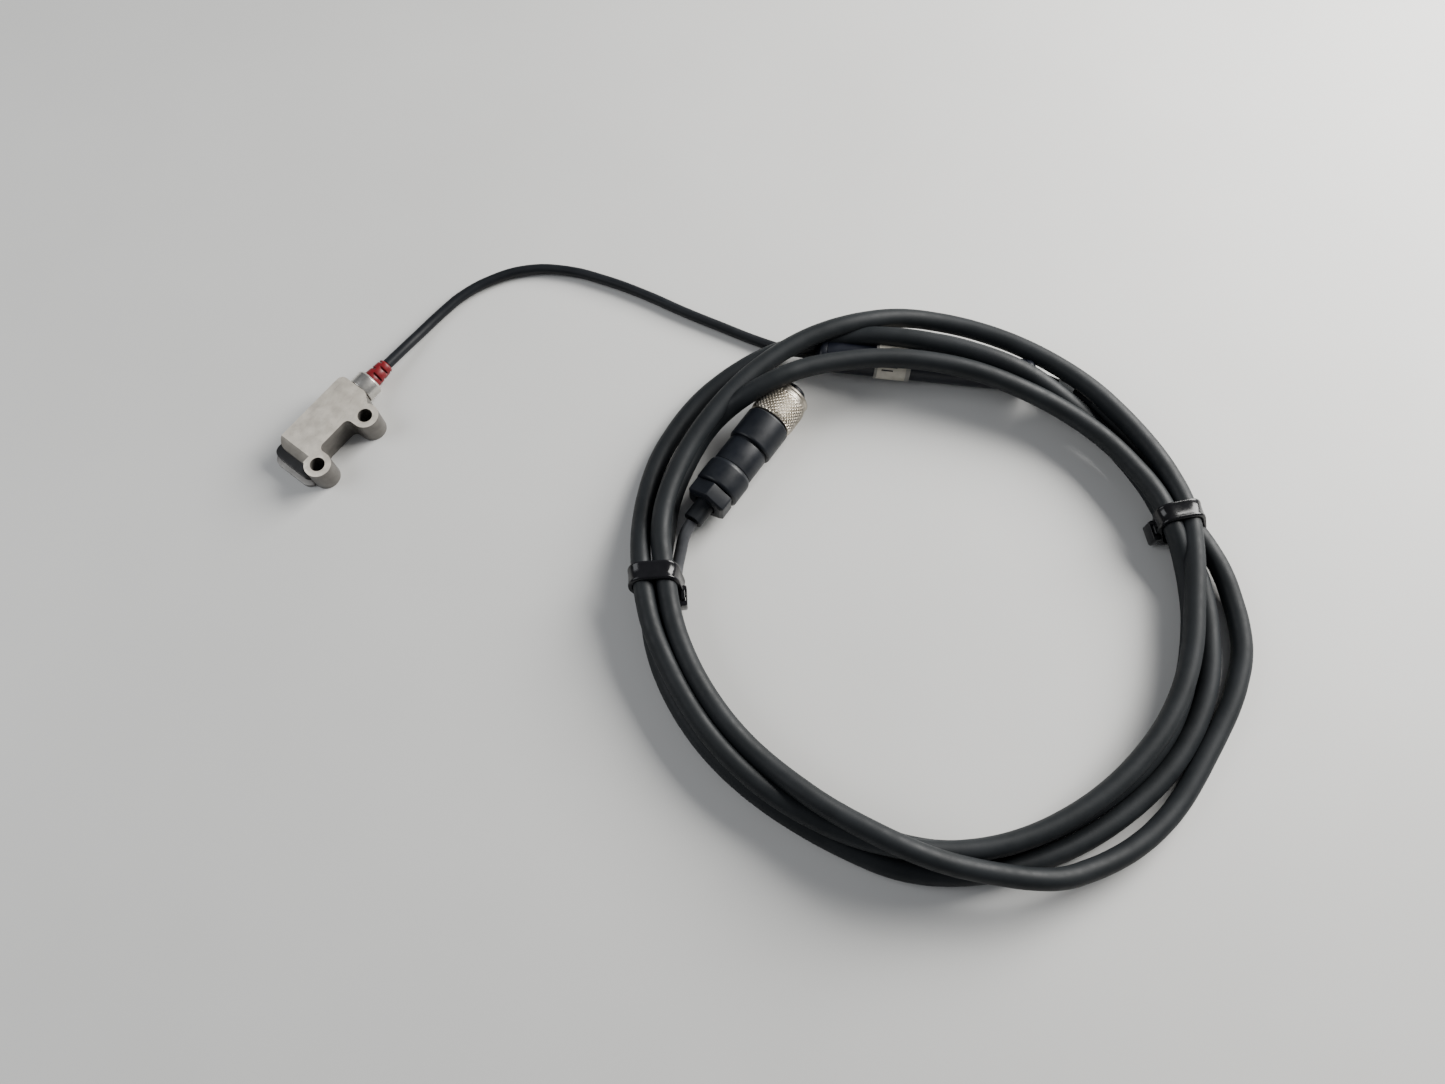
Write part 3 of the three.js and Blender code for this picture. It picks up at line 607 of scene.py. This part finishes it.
def softened(profile, radius, steps=3):
    """The (x, r) profile with each corner rounded off, apart from its ends on the axis."""
    points = []
    for i, corner in enumerate(profile):
        before, here, after = Vector(profile[i - 1]), Vector(corner), Vector(profile[(i + 1) % len(profile)])
        if i in (0, len(profile) - 1) and corner[1] == 0:
            points.append(tuple(here))
            continue
        to_before, to_after = before - here, after - here
        reach = min(radius, to_before.length * CORNER_SHARE, to_after.length * CORNER_SHARE)
        start = here + to_before.normalized() * reach
        end = here + to_after.normalized() * reach
        for k in range(steps + 1):
            t = k / steps
            points.append(tuple(start * (1 - t) ** 2 + here * 2 * t * (1 - t) + end * t * t))
    return points


def ring(place, x, radius, sides):
    """Points round the X axis of place. The radius is a function of the turn, which runs from 0 to 1."""
    points = []
    for k in range(sides):
        r = radius(k / sides)
        angle = 2 * math.pi * k / sides
        points.append(place @ Vector((x, r * math.cos(angle), r * math.sin(angle))))
    return points


def plain_round(turn):
    return 1.0


def turned(name, profile, material, place, soft=0.15, sides=SIDES, shape=plain_round):
    """Turns the (x, r) profile about the X axis of place. shape(turn) scales the radius."""
    profile = softened(profile, soft)
    vertices = []
    for x, r in profile:
        vertices += ring(place, x, lambda turn, r=r: r * shape(turn), sides)
    return new_piece(name, mesh_from(vertices, loop_faces(len(profile), sides), name), material)


def placed(x, y, z, degrees=0.0):
    return Matrix.Translation((x, y, z)) @ Matrix.Rotation(math.radians(degrees), 4, "Z")


def box_centre(node):
    low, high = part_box(node)
    return (low + high) / 2 / MM


# ---- Sensor head ----

BLOCK_TIP = -18.2
BLOCK_NECK = 10.4
BLOCK_FAR = 9.2
BLOCK_TIP_CORNER = 2.6
BLOCK_NECK_CORNER = 2.0
NECK_EAR_SWEEP = 3.2
RECESS_Y = -2.8
EAR_RADIUS = 4.1
EAR_Y = -6.3
EAR_TIP_X = -16.1
EAR_NECK_X = 4.4
EAR_FILLET = 1.8
EAR_CLEARANCE = 0.12
HEAD_EDGE = 0.42
SCREW_HOLE = 2.25
SCREW_HOLE_EDGE = 0.22
STEP_END = 1.9
STEP_HEIGHT = 4.9
STEP_Y = -1.6
SHOULDER_Y = 10.1
SHOULDER_SLOPE = -52
TIP_CHAMFER = 2.5
RIM_HEIGHT = 1.3


def head_outline():
    """The block and its two ears, seen from above, from the tip ear round to the tip."""
    tip_side = math.degrees(math.acos((BLOCK_TIP - EAR_TIP_X) / EAR_RADIUS))
    fillet_y = RECESS_Y - EAR_FILLET
    points = arc(EAR_TIP_X, EAR_Y, EAR_RADIUS, tip_side, 360, 30)
    points += arc(EAR_TIP_X + EAR_RADIUS + EAR_FILLET, fillet_y, EAR_FILLET, 180, 90, 8)
    points += arc(EAR_NECK_X - EAR_RADIUS - EAR_FILLET, fillet_y, EAR_FILLET, 90, 0, 8)
    points += arc(EAR_NECK_X, EAR_Y, EAR_RADIUS, 180, 392, 32)
    points += arc(BLOCK_NECK - NECK_EAR_SWEEP, 0.2, NECK_EAR_SWEEP, -50, 0, 8)
    corner = BLOCK_NECK_CORNER
    points += arc(BLOCK_NECK - corner, BLOCK_FAR - corner, corner, 0, 90, 8)
    corner = BLOCK_TIP_CORNER
    points += arc(BLOCK_TIP + corner, BLOCK_FAR - corner, corner, 90, 180, 10)
    return points


def head_screw_holes():
    holes = [circle(x, EAR_Y, SCREW_HOLE, 48) for x in (EAR_TIP_X, EAR_NECK_X)]
    return [tool_from(prism_mesh(hole, -BEYOND, HEAD_HEIGHT + BEYOND, "tool")) for hole in holes]


def build_housing():
    """The steel block: sloped shoulder by the neck, chamfered tip, and a step for the resin."""
    piece = new_piece("head_body", prism_mesh(head_outline(), 0, HEAD_HEIGHT, "head_body"), "satin_steel")
    shoulder = rounded_rectangle(STEP_END + 0.3, BLOCK_NECK - 1.4, BLOCK_FAR - 3.4, SHOULDER_Y, 1.6)
    join(piece, tool_from(prism_mesh(shoulder, 0.0, HEAD_HEIGHT - 1.5, "tool")))
    slope = (Matrix.Translation((0, SHOULDER_Y, HEAD_HEIGHT))
             @ Matrix.Rotation(math.radians(SHOULDER_SLOPE), 4, "X"))
    tip = Matrix.Translation((BLOCK_TIP, 0, HEAD_HEIGHT)) @ Matrix.Rotation(math.radians(-45), 4, "Y")
    reach = TIP_CHAMFER / math.sqrt(2)
    cut(piece,
        box_tool((BLOCK_TIP - 6, STEP_Y, -BEYOND), (STEP_END, BLOCK_FAR + 6, STEP_HEIGHT)),
        box_tool((-2 * reach, -2.4, -reach), (reach, 20, 3 * reach), tip),
        box_tool((STEP_END - 2, -6, -0.55), (BLOCK_NECK + 3, 6, 6), slope))
    bevel(piece, HEAD_EDGE, segments=4)
    cut(piece, *head_screw_holes())
    bevel(piece, SCREW_HOLE_EDGE, angle=55.0)
    resmooth(piece, angle=28.0)
    finish_piece(piece, "satin_steel", "head_housing")


def clear_of_ear(piece):
    """Cuts a plate clear of the tip ear and of the block beside it."""
    ear = circle(EAR_TIP_X, EAR_Y, EAR_RADIUS + EAR_CLEARANCE, 60)
    cut(piece, tool_from(prism_mesh(ear, -BEYOND, HEAD_HEIGHT, "tool")),
        box_tool((EAR_TIP_X - 2.4, -15, -BEYOND), (STEP_END + 1, STEP_Y + 0.15, HEAD_HEIGHT)))


def build_plate(name, outline, low, high, material, slot_name, node, edge, segments):
    plate = new_piece(name, prism_mesh(outline, low, high, name), material)
    clear_of_ear(plate)
    bevel(plate, edge, segments)
    resmooth(plate)
    finish_piece(plate, slot_name, node)


def build_face_and_rim():
    end = STEP_END - 0.1
    resin = rounded_rectangle(-20.9, end, -4.6, 9.9, 2.6, 10)
    build_plate("resin_face", resin, RIM_HEIGHT + 0.05, STEP_HEIGHT - 0.05, "black_resin", "black_resin",
                "sensing_face", 0.45, 4)
    rim = rounded_rectangle(-22.4, end, -6.0, 10.4, 3.2, 10)
    build_plate("rim_plate", rim, 0, RIM_HEIGHT, "rim_steel", "satin_steel", "base_rim", 0.3, 3)


def build_neck():
    place = placed(0, NECK_Y, NECK_Z)
    start, end = BLOCK_NECK + 0.02, BOOT_START - 0.05
    collar = turned("neck_ring", [
        (start, 2.6), (start, 3.9), (start + 0.25, 4.3), (end - 0.55, 4.3), (end, 3.75), (end, 2.75),
        (end - 0.5, 2.6),
    ], "polished_steel", place, soft=0.12, sides=FINE_SIDES)
    finish_piece(collar, "polished_steel", "neck_collar")


BOOT_WIDE = 2.95
BOOT_NARROW = 2.35
BOOT_BORE = 1.75
BOOT_SLOT_PITCH = 1.45
BOOT_SLOT_WIDTH = 0.72
BOOT_SLOT_HALF_LENGTH = 1.75
BOOT_SLOT_FLOOR = 1.85


def boot_radius(x):
    share = (x - BOOT_START) / (BOOT_END - BOOT_START)
    return BOOT_WIDE + (BOOT_NARROW - BOOT_WIDE) * share


def build_boot():
    """Red strain relief: collar ring, tapered body, and pairs of slots staggered by a quarter turn."""
    place = placed(0, NECK_Y, NECK_Z)
    profile = [(BOOT_START - 1.5, BOOT_BORE), (BOOT_START - 1.5, 2.4), (BOOT_START, 2.4)]
    profile += [(BOOT_START, boot_radius(BOOT_START)), (BOOT_END - 0.5, boot_radius(BOOT_END - 0.5))]
    profile += [(BOOT_END, boot_radius(BOOT_END) - 0.35), (BOOT_END, BOOT_BORE)]
    piece = turned("boot", profile, "red_boot", place, soft=0.2, sides=64)
    slots = []
    for i in range(4):
        x = BOOT_START + 1.25 + BOOT_SLOT_PITCH * i
        for side in (0, 180):
            turn = place @ Matrix.Rotation(math.radians(45 + 90 * (i % 2) + side), 4, "X")
            slots.append(box_tool((x, -BOOT_SLOT_HALF_LENGTH, BOOT_SLOT_FLOOR),
                                  (x + BOOT_SLOT_WIDTH, BOOT_SLOT_HALF_LENGTH, 4.5), turn))
    cut(piece, *slots)
    bevel(piece, 0.11, segments=2, angle=45.0)
    resmooth(piece, angle=40.0)
    finish_piece(piece, "red_boot", "strain_relief_boot")


# ---- Amplifier, along its own X axis from the head cable's end ----

CAP_LENGTH = 3.6
CAP_GAP = 0.05
LABEL_RISE = 0.5  # how far the label holder stands off the tube
HOLDER_START, HOLDER_END, HOLDER_WRAP = 18.9, 30.0, (-36, 216)  # millimetres along, degrees round
PLATE_START, PLATE_END, PLATE_WRAP = 19.7, 28.6, (-27, 190)
STRIP_STEPS = 40
LABEL_BARS = ((21.0, 25.8, 122), (21.0, 25.8, 134), (21.0, 24.6, 146))
LABEL_BAR_WIDTH = 5  # degrees


def amplifier_place():
    centre = box_centre("amplifier_tube")
    return placed(*centre, AMP_ANGLE) @ Matrix.Translation((-AMP_LENGTH / 2, 0, 0))


def build_amplifier():
    place = amplifier_place()
    start, end = CAP_LENGTH + CAP_GAP, AMP_LENGTH - CAP_LENGTH - CAP_GAP
    tube = turned("amplifier_body", [(start, 4.4), (start, AMP_RADIUS), (end, AMP_RADIUS), (end, 4.4)],
                  "amplifier_black", place, soft=0.2, sides=FINE_SIDES)
    finish_piece(tube, "amplifier_black", "amplifier_tube")
    far_end = place @ Matrix.Translation((AMP_LENGTH, 0, 0)) @ Matrix.Rotation(math.pi, 4, "Z")
    for name, node, end_place in (("input_cap", "amplifier_input_cap", place),
                                  ("output_cap", "amplifier_output_cap", far_end)):
        cap = turned(name, [
            (0, 1.75), (0, 2.9), (0.5, 3.9), (1.5, AMP_RADIUS - 0.2), (2.2, AMP_RADIUS),
            (CAP_LENGTH, AMP_RADIUS), (CAP_LENGTH, 4.3), (CAP_LENGTH + 2.4, 4.25), (CAP_LENGTH + 2.4, 1.75),
        ], "amplifier_black", end_place, soft=0.3, sides=FINE_SIDES)
        finish_piece(cap, "amplifier_black", node)
    build_label(place)


def arc_strip(name, x0, x1, low, high, start, end, place, material):
    """A strip wrapped round the amplifier's tube, between two heights over it; degrees from its +Y side."""
    section = arc(0, 0, AMP_RADIUS + high, start, end, STRIP_STEPS)
    section += arc(0, 0, AMP_RADIUS + low, end, start, STRIP_STEPS)
    return new_piece(name, extruded_mesh(section, x0, x1, place, name), material)


def build_label(place):
    holder = arc_strip("label_holder", HOLDER_START, HOLDER_END, 0.03, LABEL_RISE, *HOLDER_WRAP, place,
                       "clip_grey")
    bevel(holder, 0.15, segments=2)
    resmooth(holder)
    finish_piece(holder, "clip_grey", "label_clip")
    plate = arc_strip("label_face", PLATE_START, PLATE_END, LABEL_RISE + 0.02, LABEL_RISE + 0.35,
                      *PLATE_WRAP, place, "label_beige")
    bevel(plate, 0.12, segments=2)
    resmooth(plate)
    finish_piece(plate, "label_beige", "label_plate")
    for i, (x0, x1, start) in enumerate(LABEL_BARS):
        bar = arc_strip(f"label_bar_{i + 1}", x0, x1, LABEL_RISE + 0.34, LABEL_RISE + 0.38, start,
                        start + LABEL_BAR_WIDTH, place, "bar_ink")
        finish_piece(bar, "label_beige")


# ---- Connector, along its own X axis from the gland nut's outer face ----

HEX_HALF = 6.2
HEX_CORNER = 0.985  # share of the sharp corner that is left
KNURL_ACROSS = 34  # diamonds round the nut
KNURL_ALONG = 6
KNURL_SAMPLES = 8  # points across a diamond
KNURL_START = 34.15
KNURL_END = 42.15
KNURL_RADIUS = 7.28
KNURL_DEPTH = 0.50
KNURL_SLOPE = 1.5
KNURL_EDGE_DROP = 0.25
KNURL_EDGE_SLOPE = 9
NUT_BACK = ((35.2, 4.42), (33.8, 4.42), (33.8, 6.6), (33.95, 6.85))
NUT_LIP = (
    (42.4, 6.8), (42.6, 6.72), (43.05, 6.72), (43.2, 6.66), (43.45, 6.42), (43.75, 6.42), (43.9, 6.5),
    (44.05, 6.66), (44.2, 6.7), (44.55, 6.7), (44.7, 6.6), (45.0, 6.25), (45.0, 5.6), (44.9, 5.5),
    (35.2, 5.5),
)
CONTACT_CIRCLE = 2.5
CONTACT_HOLE = 0.9


def plug_place():
    joint = [j for j in frame["record"]["behaviour"]["joints"] if j["name"] == "coupling_nut_spin"][0]
    return placed(*(Vector(joint["pos_m"]) / MM), PLUG_ANGLE)


def hexagon(turn):
    """Radius factor of a hexagon whose corners are turned off a little."""
    within = (2 * math.pi * turn + math.pi / 6) % (math.pi / 3) - math.pi / 6
    return min(1 / math.cos(within), 2 / math.sqrt(3) * HEX_CORNER)


def build_gland(place):
    sleeve = turned("sleeve", [(-6.2, 1.7), (-6.2, 2.95), (8.4, 2.95), (8.4, 1.9)], "cable_jacket", place,
                    soft=0.25)
    finish_piece(sleeve, "cable_jacket", "adapter_sleeve")
    nut = turned("hex_gland_nut", [
        (0, 3.3), (0, HEX_HALF - 0.9), (0.6, HEX_HALF), (5.0, HEX_HALF), (5.0, 5.65), (1.4, 5.65),
        (1.4, 3.3),
    ], "connector_black", place, soft=0.16, sides=144, shape=hexagon)
    resmooth(nut, 25.0)
    finish_piece(nut, "connector_black", "gland_nut", body="gland_nut")


def build_shells(place):
    rear = turned("rear_shell", [
        (2.6, 4.85), (2.6, 5.5), (5.35, 5.5), (5.35, 6.5), (5.9, 7.1), (12.5, 7.1), (13.62, 6.55),
        (13.62, 5.5), (9.4, 5.5), (9.4, 4.85),
    ], "connector_black", place, soft=0.35, sides=FINE_SIDES)
    finish_piece(rear, "connector_black", "shell_rear")
    front = turned("front_shell", [
        (13.68, 5.0), (13.68, 6.5), (22.1, 6.5), (22.1, 5.9), (22.8, 5.9), (22.8, 6.85), (23.3, 7.15),
        (32.8, 7.15), (33.4, 6.7), (33.4, 5.9), (28.3, 5.9), (28.3, 5.0),
    ], "connector_black", place, soft=0.25, sides=FINE_SIDES)
    finish_piece(front, "connector_black", "shell_front")


def knurl_radius(share, turn):
    """Radius at a share of the band's length and of the turn: crossed grooves leave raised diamonds."""
    first = abs(((turn * KNURL_ACROSS + share * KNURL_ALONG) % 1.0) - 0.5) * 2
    second = abs(((turn * KNURL_ACROSS - share * KNURL_ALONG) % 1.0) - 0.5) * 2
    groove = 1 - min(1.0, KNURL_SLOPE * min(first, second))
    edge = min(1.0, KNURL_EDGE_SLOPE * share, KNURL_EDGE_SLOPE * (1 - share))
    return KNURL_RADIUS - KNURL_DEPTH * groove - KNURL_EDGE_DROP * (1 - edge)


def build_coupling_nut(place):
    """A diamond-knurled band with a two-ridge lip, hollow in front."""
    rows, columns = KNURL_ALONG * KNURL_SAMPLES, KNURL_ACROSS * KNURL_SAMPLES
    vertices = []
    for x, r in NUT_BACK:
        vertices += ring(place, x, lambda turn, r=r: r, columns)
    for i in range(rows + 1):
        share = i / rows
        x = KNURL_START + (KNURL_END - KNURL_START) * share
        vertices += ring(place, x, lambda turn, share=share: knurl_radius(share, turn), columns)
    for x, r in NUT_LIP:
        vertices += ring(place, x, lambda turn, r=r: r, columns)
    mesh = mesh_from(vertices, loop_faces(len(vertices) // columns, columns), "knurled_nut")
    nut = new_piece("knurled_nut", mesh, "nickel", smooth=12.0)
    finish_piece(nut, "nickel", "coupling_nut", body="coupling_nut")


def build_insert(place):
    """The black contact insert, with four contact holes and a keyway."""
    insert = turned("insert", [
        (28.6, 0), (28.6, 5.6), (32.9, 5.6), (32.9, 4.3), (46.7, 4.3), (47.3, 3.8), (47.3, 0),
    ], "connector_black", place, soft=0.25, sides=FINE_SIDES)
    tools = []
    for i in range(4):
        angle = math.pi / 4 + i * math.pi / 2
        y, z = CONTACT_CIRCLE * math.cos(angle), CONTACT_CIRCLE * math.sin(angle)
        tools.append(tool_from(extruded_mesh(circle(y, z, CONTACT_HOLE, 24), 39, 50, place, "tool")))
    tools.append(box_tool((40, -0.7, 3.6), (48, 0.7, 6), place))
    cut(insert, *tools)
    resmooth(insert)
    finish_piece(insert, "connector_black", "contact_carrier")


def build_connector():
    place = plug_place()
    build_gland(place)
    build_shells(place)
    build_coupling_nut(place)
    build_insert(place)


# ---- Cable ties ----

STRAND_SLACK = 0.12
STRAP_POINTS = 120
STRAP_EASING = 6  # rounds of smoothing
STRAP_LOWEST = 0.06
TIE_HEAD_HEIGHT = 5.0
TIE_HEAD_HALF = 3.1
TIE_SLOT_HALF = 1.6
TIE_TAIL_HALF = 1.5


def strands_at(degrees):
    """(radius, height) of each turn of the thick cable where it passes this angle."""
    first, last = COIL_STATIONS[0][0], COIL_STATIONS[-1][0]
    angle = degrees + 360
    found = []
    while angle >= last:
        if angle <= first:
            found.append((smooth_value(angle, 1), smooth_value(angle, 2)))
        angle -= 360
    return found


def hull(points):
    """Corners of the smallest convex outline round 2-D points, anticlockwise."""
    points = sorted(points)
    halves = []
    for ordered in (points, points[::-1]):
        half = []
        for p in ordered:
            while len(half) > 1:
                (x0, y0), (x1, y1) = half[-2], half[-1]
                if (x1 - x0) * (p[1] - y0) - (y1 - y0) * (p[0] - x0) > 0:
                    break
                half.pop()
            half.append(p)
        halves += half[:-1]
    return halves


def evenly(outline, count):
    """The closed outline again, in equal steps."""
    points = [Vector(p) for p in outline]
    lengths = [(points[(i + 1) % len(points)] - p).length for i, p in enumerate(points)]
    step = sum(lengths) / count
    result = []
    index, gone = 0, 0.0
    for k in range(count):
        target = k * step
        while gone + lengths[index] < target:
            gone += lengths[index]
            index += 1
        start, end = points[index], points[(index + 1) % len(points)]
        result.append(start.lerp(end, (target - gone) / lengths[index]))
    return result


def tie_section():
    """Strap outline across the band: flat inside, edges rounded, a shallow rib along each edge."""
    half, strap = TIE_WIDTH / 2, TIE_STRAP
    return [(-half, 0.0), (half, 0.0), (half + 0.05, 0.35), (half - 0.1, strap - 0.12), (half - 0.4, strap),
            (half - 0.75, strap - 0.02), (half - 1.0, strap - 0.16), (-half + 1.0, strap - 0.16),
            (-half + 0.75, strap - 0.02), (-half + 0.4, strap), (-half + 0.1, strap - 0.12),
            (-half - 0.05, 0.35)]


def tie_loop(degrees, extra):
    """The strap's (radius, height) path, drawn tight round the strands and eased at its corners."""
    circles = []
    for radius, height, size in [(r, z, THICK_CABLE / 2) for r, z in strands_at(degrees)] + extra:
        circles += circle(radius, height, size + STRAND_SLACK, 36)
    loop = evenly(hull(circles), STRAP_POINTS)
    for _ in range(STRAP_EASING):
        loop = [(loop[i - 1] + 2 * p + loop[(i + 1) % len(loop)]) / 4 for i, p in enumerate(loop)]
    return loop


def strap_mesh(name, loop, place, lean):
    """The section carried round the loop. The lean moves it along the cable as it goes down."""
    centre = sum(loop, Vector((0, 0))) / len(loop)
    section = tie_section()
    vertices = []
    for i, p in enumerate(loop):
        ahead = (loop[(i + 1) % len(loop)] - loop[i - 1]).normalized()
        out = Vector((ahead.y, -ahead.x))
        if out.dot(p - centre) < 0:
            out = -out
        for along, rise in section:
            q = p + out * rise
            height = max(q.y, STRAP_LOWEST)
            vertices.append(place @ Vector((q.x, along + lean * (TIE_TOP - height), height)))
    return mesh_from(vertices, loop_faces(len(loop), len(section)), name)


def build_tie_part(name, outline, low, high, place, soft, *openings):
    """A bevelled block of the tie, with rectangular openings, set at its place."""
    part = new_piece(name, prism_mesh(outline, low, high, name), "tie_nylon")
    if openings:
        cut(part, *[box_tool(*opening) for opening in openings])
    bevel(part, soft)
    part.data.transform(TO_METRES @ place @ TO_METRES.inverted())
    resmooth(part)
    finish_piece(part, "tie_nylon")


def build_tie(name, node, degrees, lean, head_ahead, extra):
    """A strap drawn tight round the strands, with its square locking head and cut tail."""
    loop = tie_loop(degrees, extra)
    place = Matrix.Translation(COIL_CENTRE) @ Matrix.Rotation(math.radians(degrees), 4, "Z")
    strap = new_piece(name, strap_mesh(name, loop, place, lean), "tie_nylon", smooth=50.0)
    finish_piece(strap, "tie_nylon", node)

    inner = min(p.x for p in loop)
    ahead = place @ Matrix.Translation((0, lean * (TIE_TOP - TIE_HEAD_LOW) + head_ahead, 0))
    low, high = TIE_HEAD_LOW, TIE_HEAD_LOW + TIE_HEAD_HEIGHT
    slot = ((inner - 1.2, -TIE_SLOT_HALF, low - BEYOND), (inner + 0.4, TIE_SLOT_HALF, high + BEYOND))
    head = rounded_rectangle(inner - 1.6, inner + 0.9, -TIE_HEAD_HALF, TIE_HEAD_HALF, 0.7, 4)
    build_tie_part(name + "_head", head, low, high, ahead, 0.4, slot)
    tail = rounded_rectangle(inner - 1.0, inner + 0.2, -TIE_TAIL_HALF, TIE_TAIL_HALF, 0.4, 3)
    build_tie_part(name + "_tail", tail, low - 0.6, high + 1.0, ahead, 0.2)


def build_ties():
    tail_place = Vector(PLUG_TAIL_ROUTE[-1]) - COIL_CENTRE
    tail_strand = (tail_place.xy.length, tail_place.z, LEAD_CABLE / 2)
    build_tie("tie_left", "cable_tie_left", TIE_LEFT, lean=0.28, head_ahead=2.2, extra=[tail_strand])
    build_tie("tie_right", "cable_tie_right", TIE_RIGHT, lean=-0.22, head_ahead=0.4, extra=[])


# ---- Pieces that stay as the CAD made them ----

CAD_MATERIALS = {
    "ferrite_core": "ferrite", "sensing_coil": "copper", "head_board": "board", "oscillator_chip": "chip",
    "crimp_ferrule": "nickel", "head_cable_stub": "cable_jacket", "amplifier_board": "board",
    "amplifier_chip": "chip", "output_transistor": "chip", "sensitivity_resistor": "ferrite",
    "indicator_led": "label_beige", "indicator_lens": "lens", "marker_sleeve": "clear_sleeve",
    "thrust_washer": "nickel", "clamp_claw": "connector_black", "cable_seal": "seal_rubber",
    "contact_1": "gold_contact", "contact_2": "gold_contact", "contact_3": "gold_contact",
    "contact_4": "gold_contact", "nut_retaining_ring": "nickel", "face_seal": "seal_rubber",
}


def paint_cad_nodes():
    for node, material in CAD_MATERIALS.items():
        piece = frame["nodes"][node]
        piece.data.materials.clear()
        piece.data.materials.append(MATERIALS[material])


build_housing()
build_face_and_rim()
build_neck()
build_boot()
build_amplifier()
build_connector()
build_ties()
paint_cad_nodes()


# ---- Floor and light: metres and watts ----

FLOOR_HALF = 3.0
SKY_COLOUR = (0.90, 0.93, 1.0, 1)
SKY_STRENGTH = 0.18
LIGHTS = {  # place, target, size, power, colour
    "key": ((0.66, -0.34, 0.38), (0.05, -0.14, 0), (0.50, 0.42), 16.0, (1.0, 0.985, 0.955)),
    "fill": ((-0.35, 0.40, 0.55), (0.03, -0.12, 0), (0.5, 0.5), 3.0, (0.95, 0.97, 1.0)),
}


def add_floor():
    mesh = bpy.data.meshes.new("floor")
    size = FLOOR_HALF
    mesh.from_pydata([(-size, -size, 0), (size, -size, 0), (size, size, 0), (-size, size, 0)], [],
                     [(0, 1, 2, 3)])
    n = Nodes("floor", Roughness=0.6)
    n.colour(n.ramp(n.noise(9.0, 4.0), (0.3, (0.60, 0.60, 0.585)), (0.7, (0.64, 0.64, 0.625))))
    mesh.materials.append(n.material)
    floor = bpy.data.objects.new("floor", mesh)
    bpy.context.collection.objects.link(floor)


def add_area_light(name, place, target, size, power, colour):
    data = bpy.data.lights.new(name, "AREA")
    data.shape = "RECTANGLE"
    data.size, data.size_y = size
    data.energy = power
    data.color = colour
    light = bpy.data.objects.new(name, data)
    light.location = place
    light.rotation_euler = (Vector(target) - Vector(place)).to_track_quat("-Z", "Y").to_euler()
    bpy.context.collection.objects.link(light)


def add_lights():
    world = bpy.data.worlds.new("studio")
    world.use_nodes = True
    background = world.node_tree.nodes["Background"]
    background.inputs["Color"].default_value = SKY_COLOUR
    background.inputs["Strength"].default_value = SKY_STRENGTH
    bpy.context.scene.world = world
    for name, facts in LIGHTS.items():
        add_area_light(name, *facts)


add_floor()
add_lights()
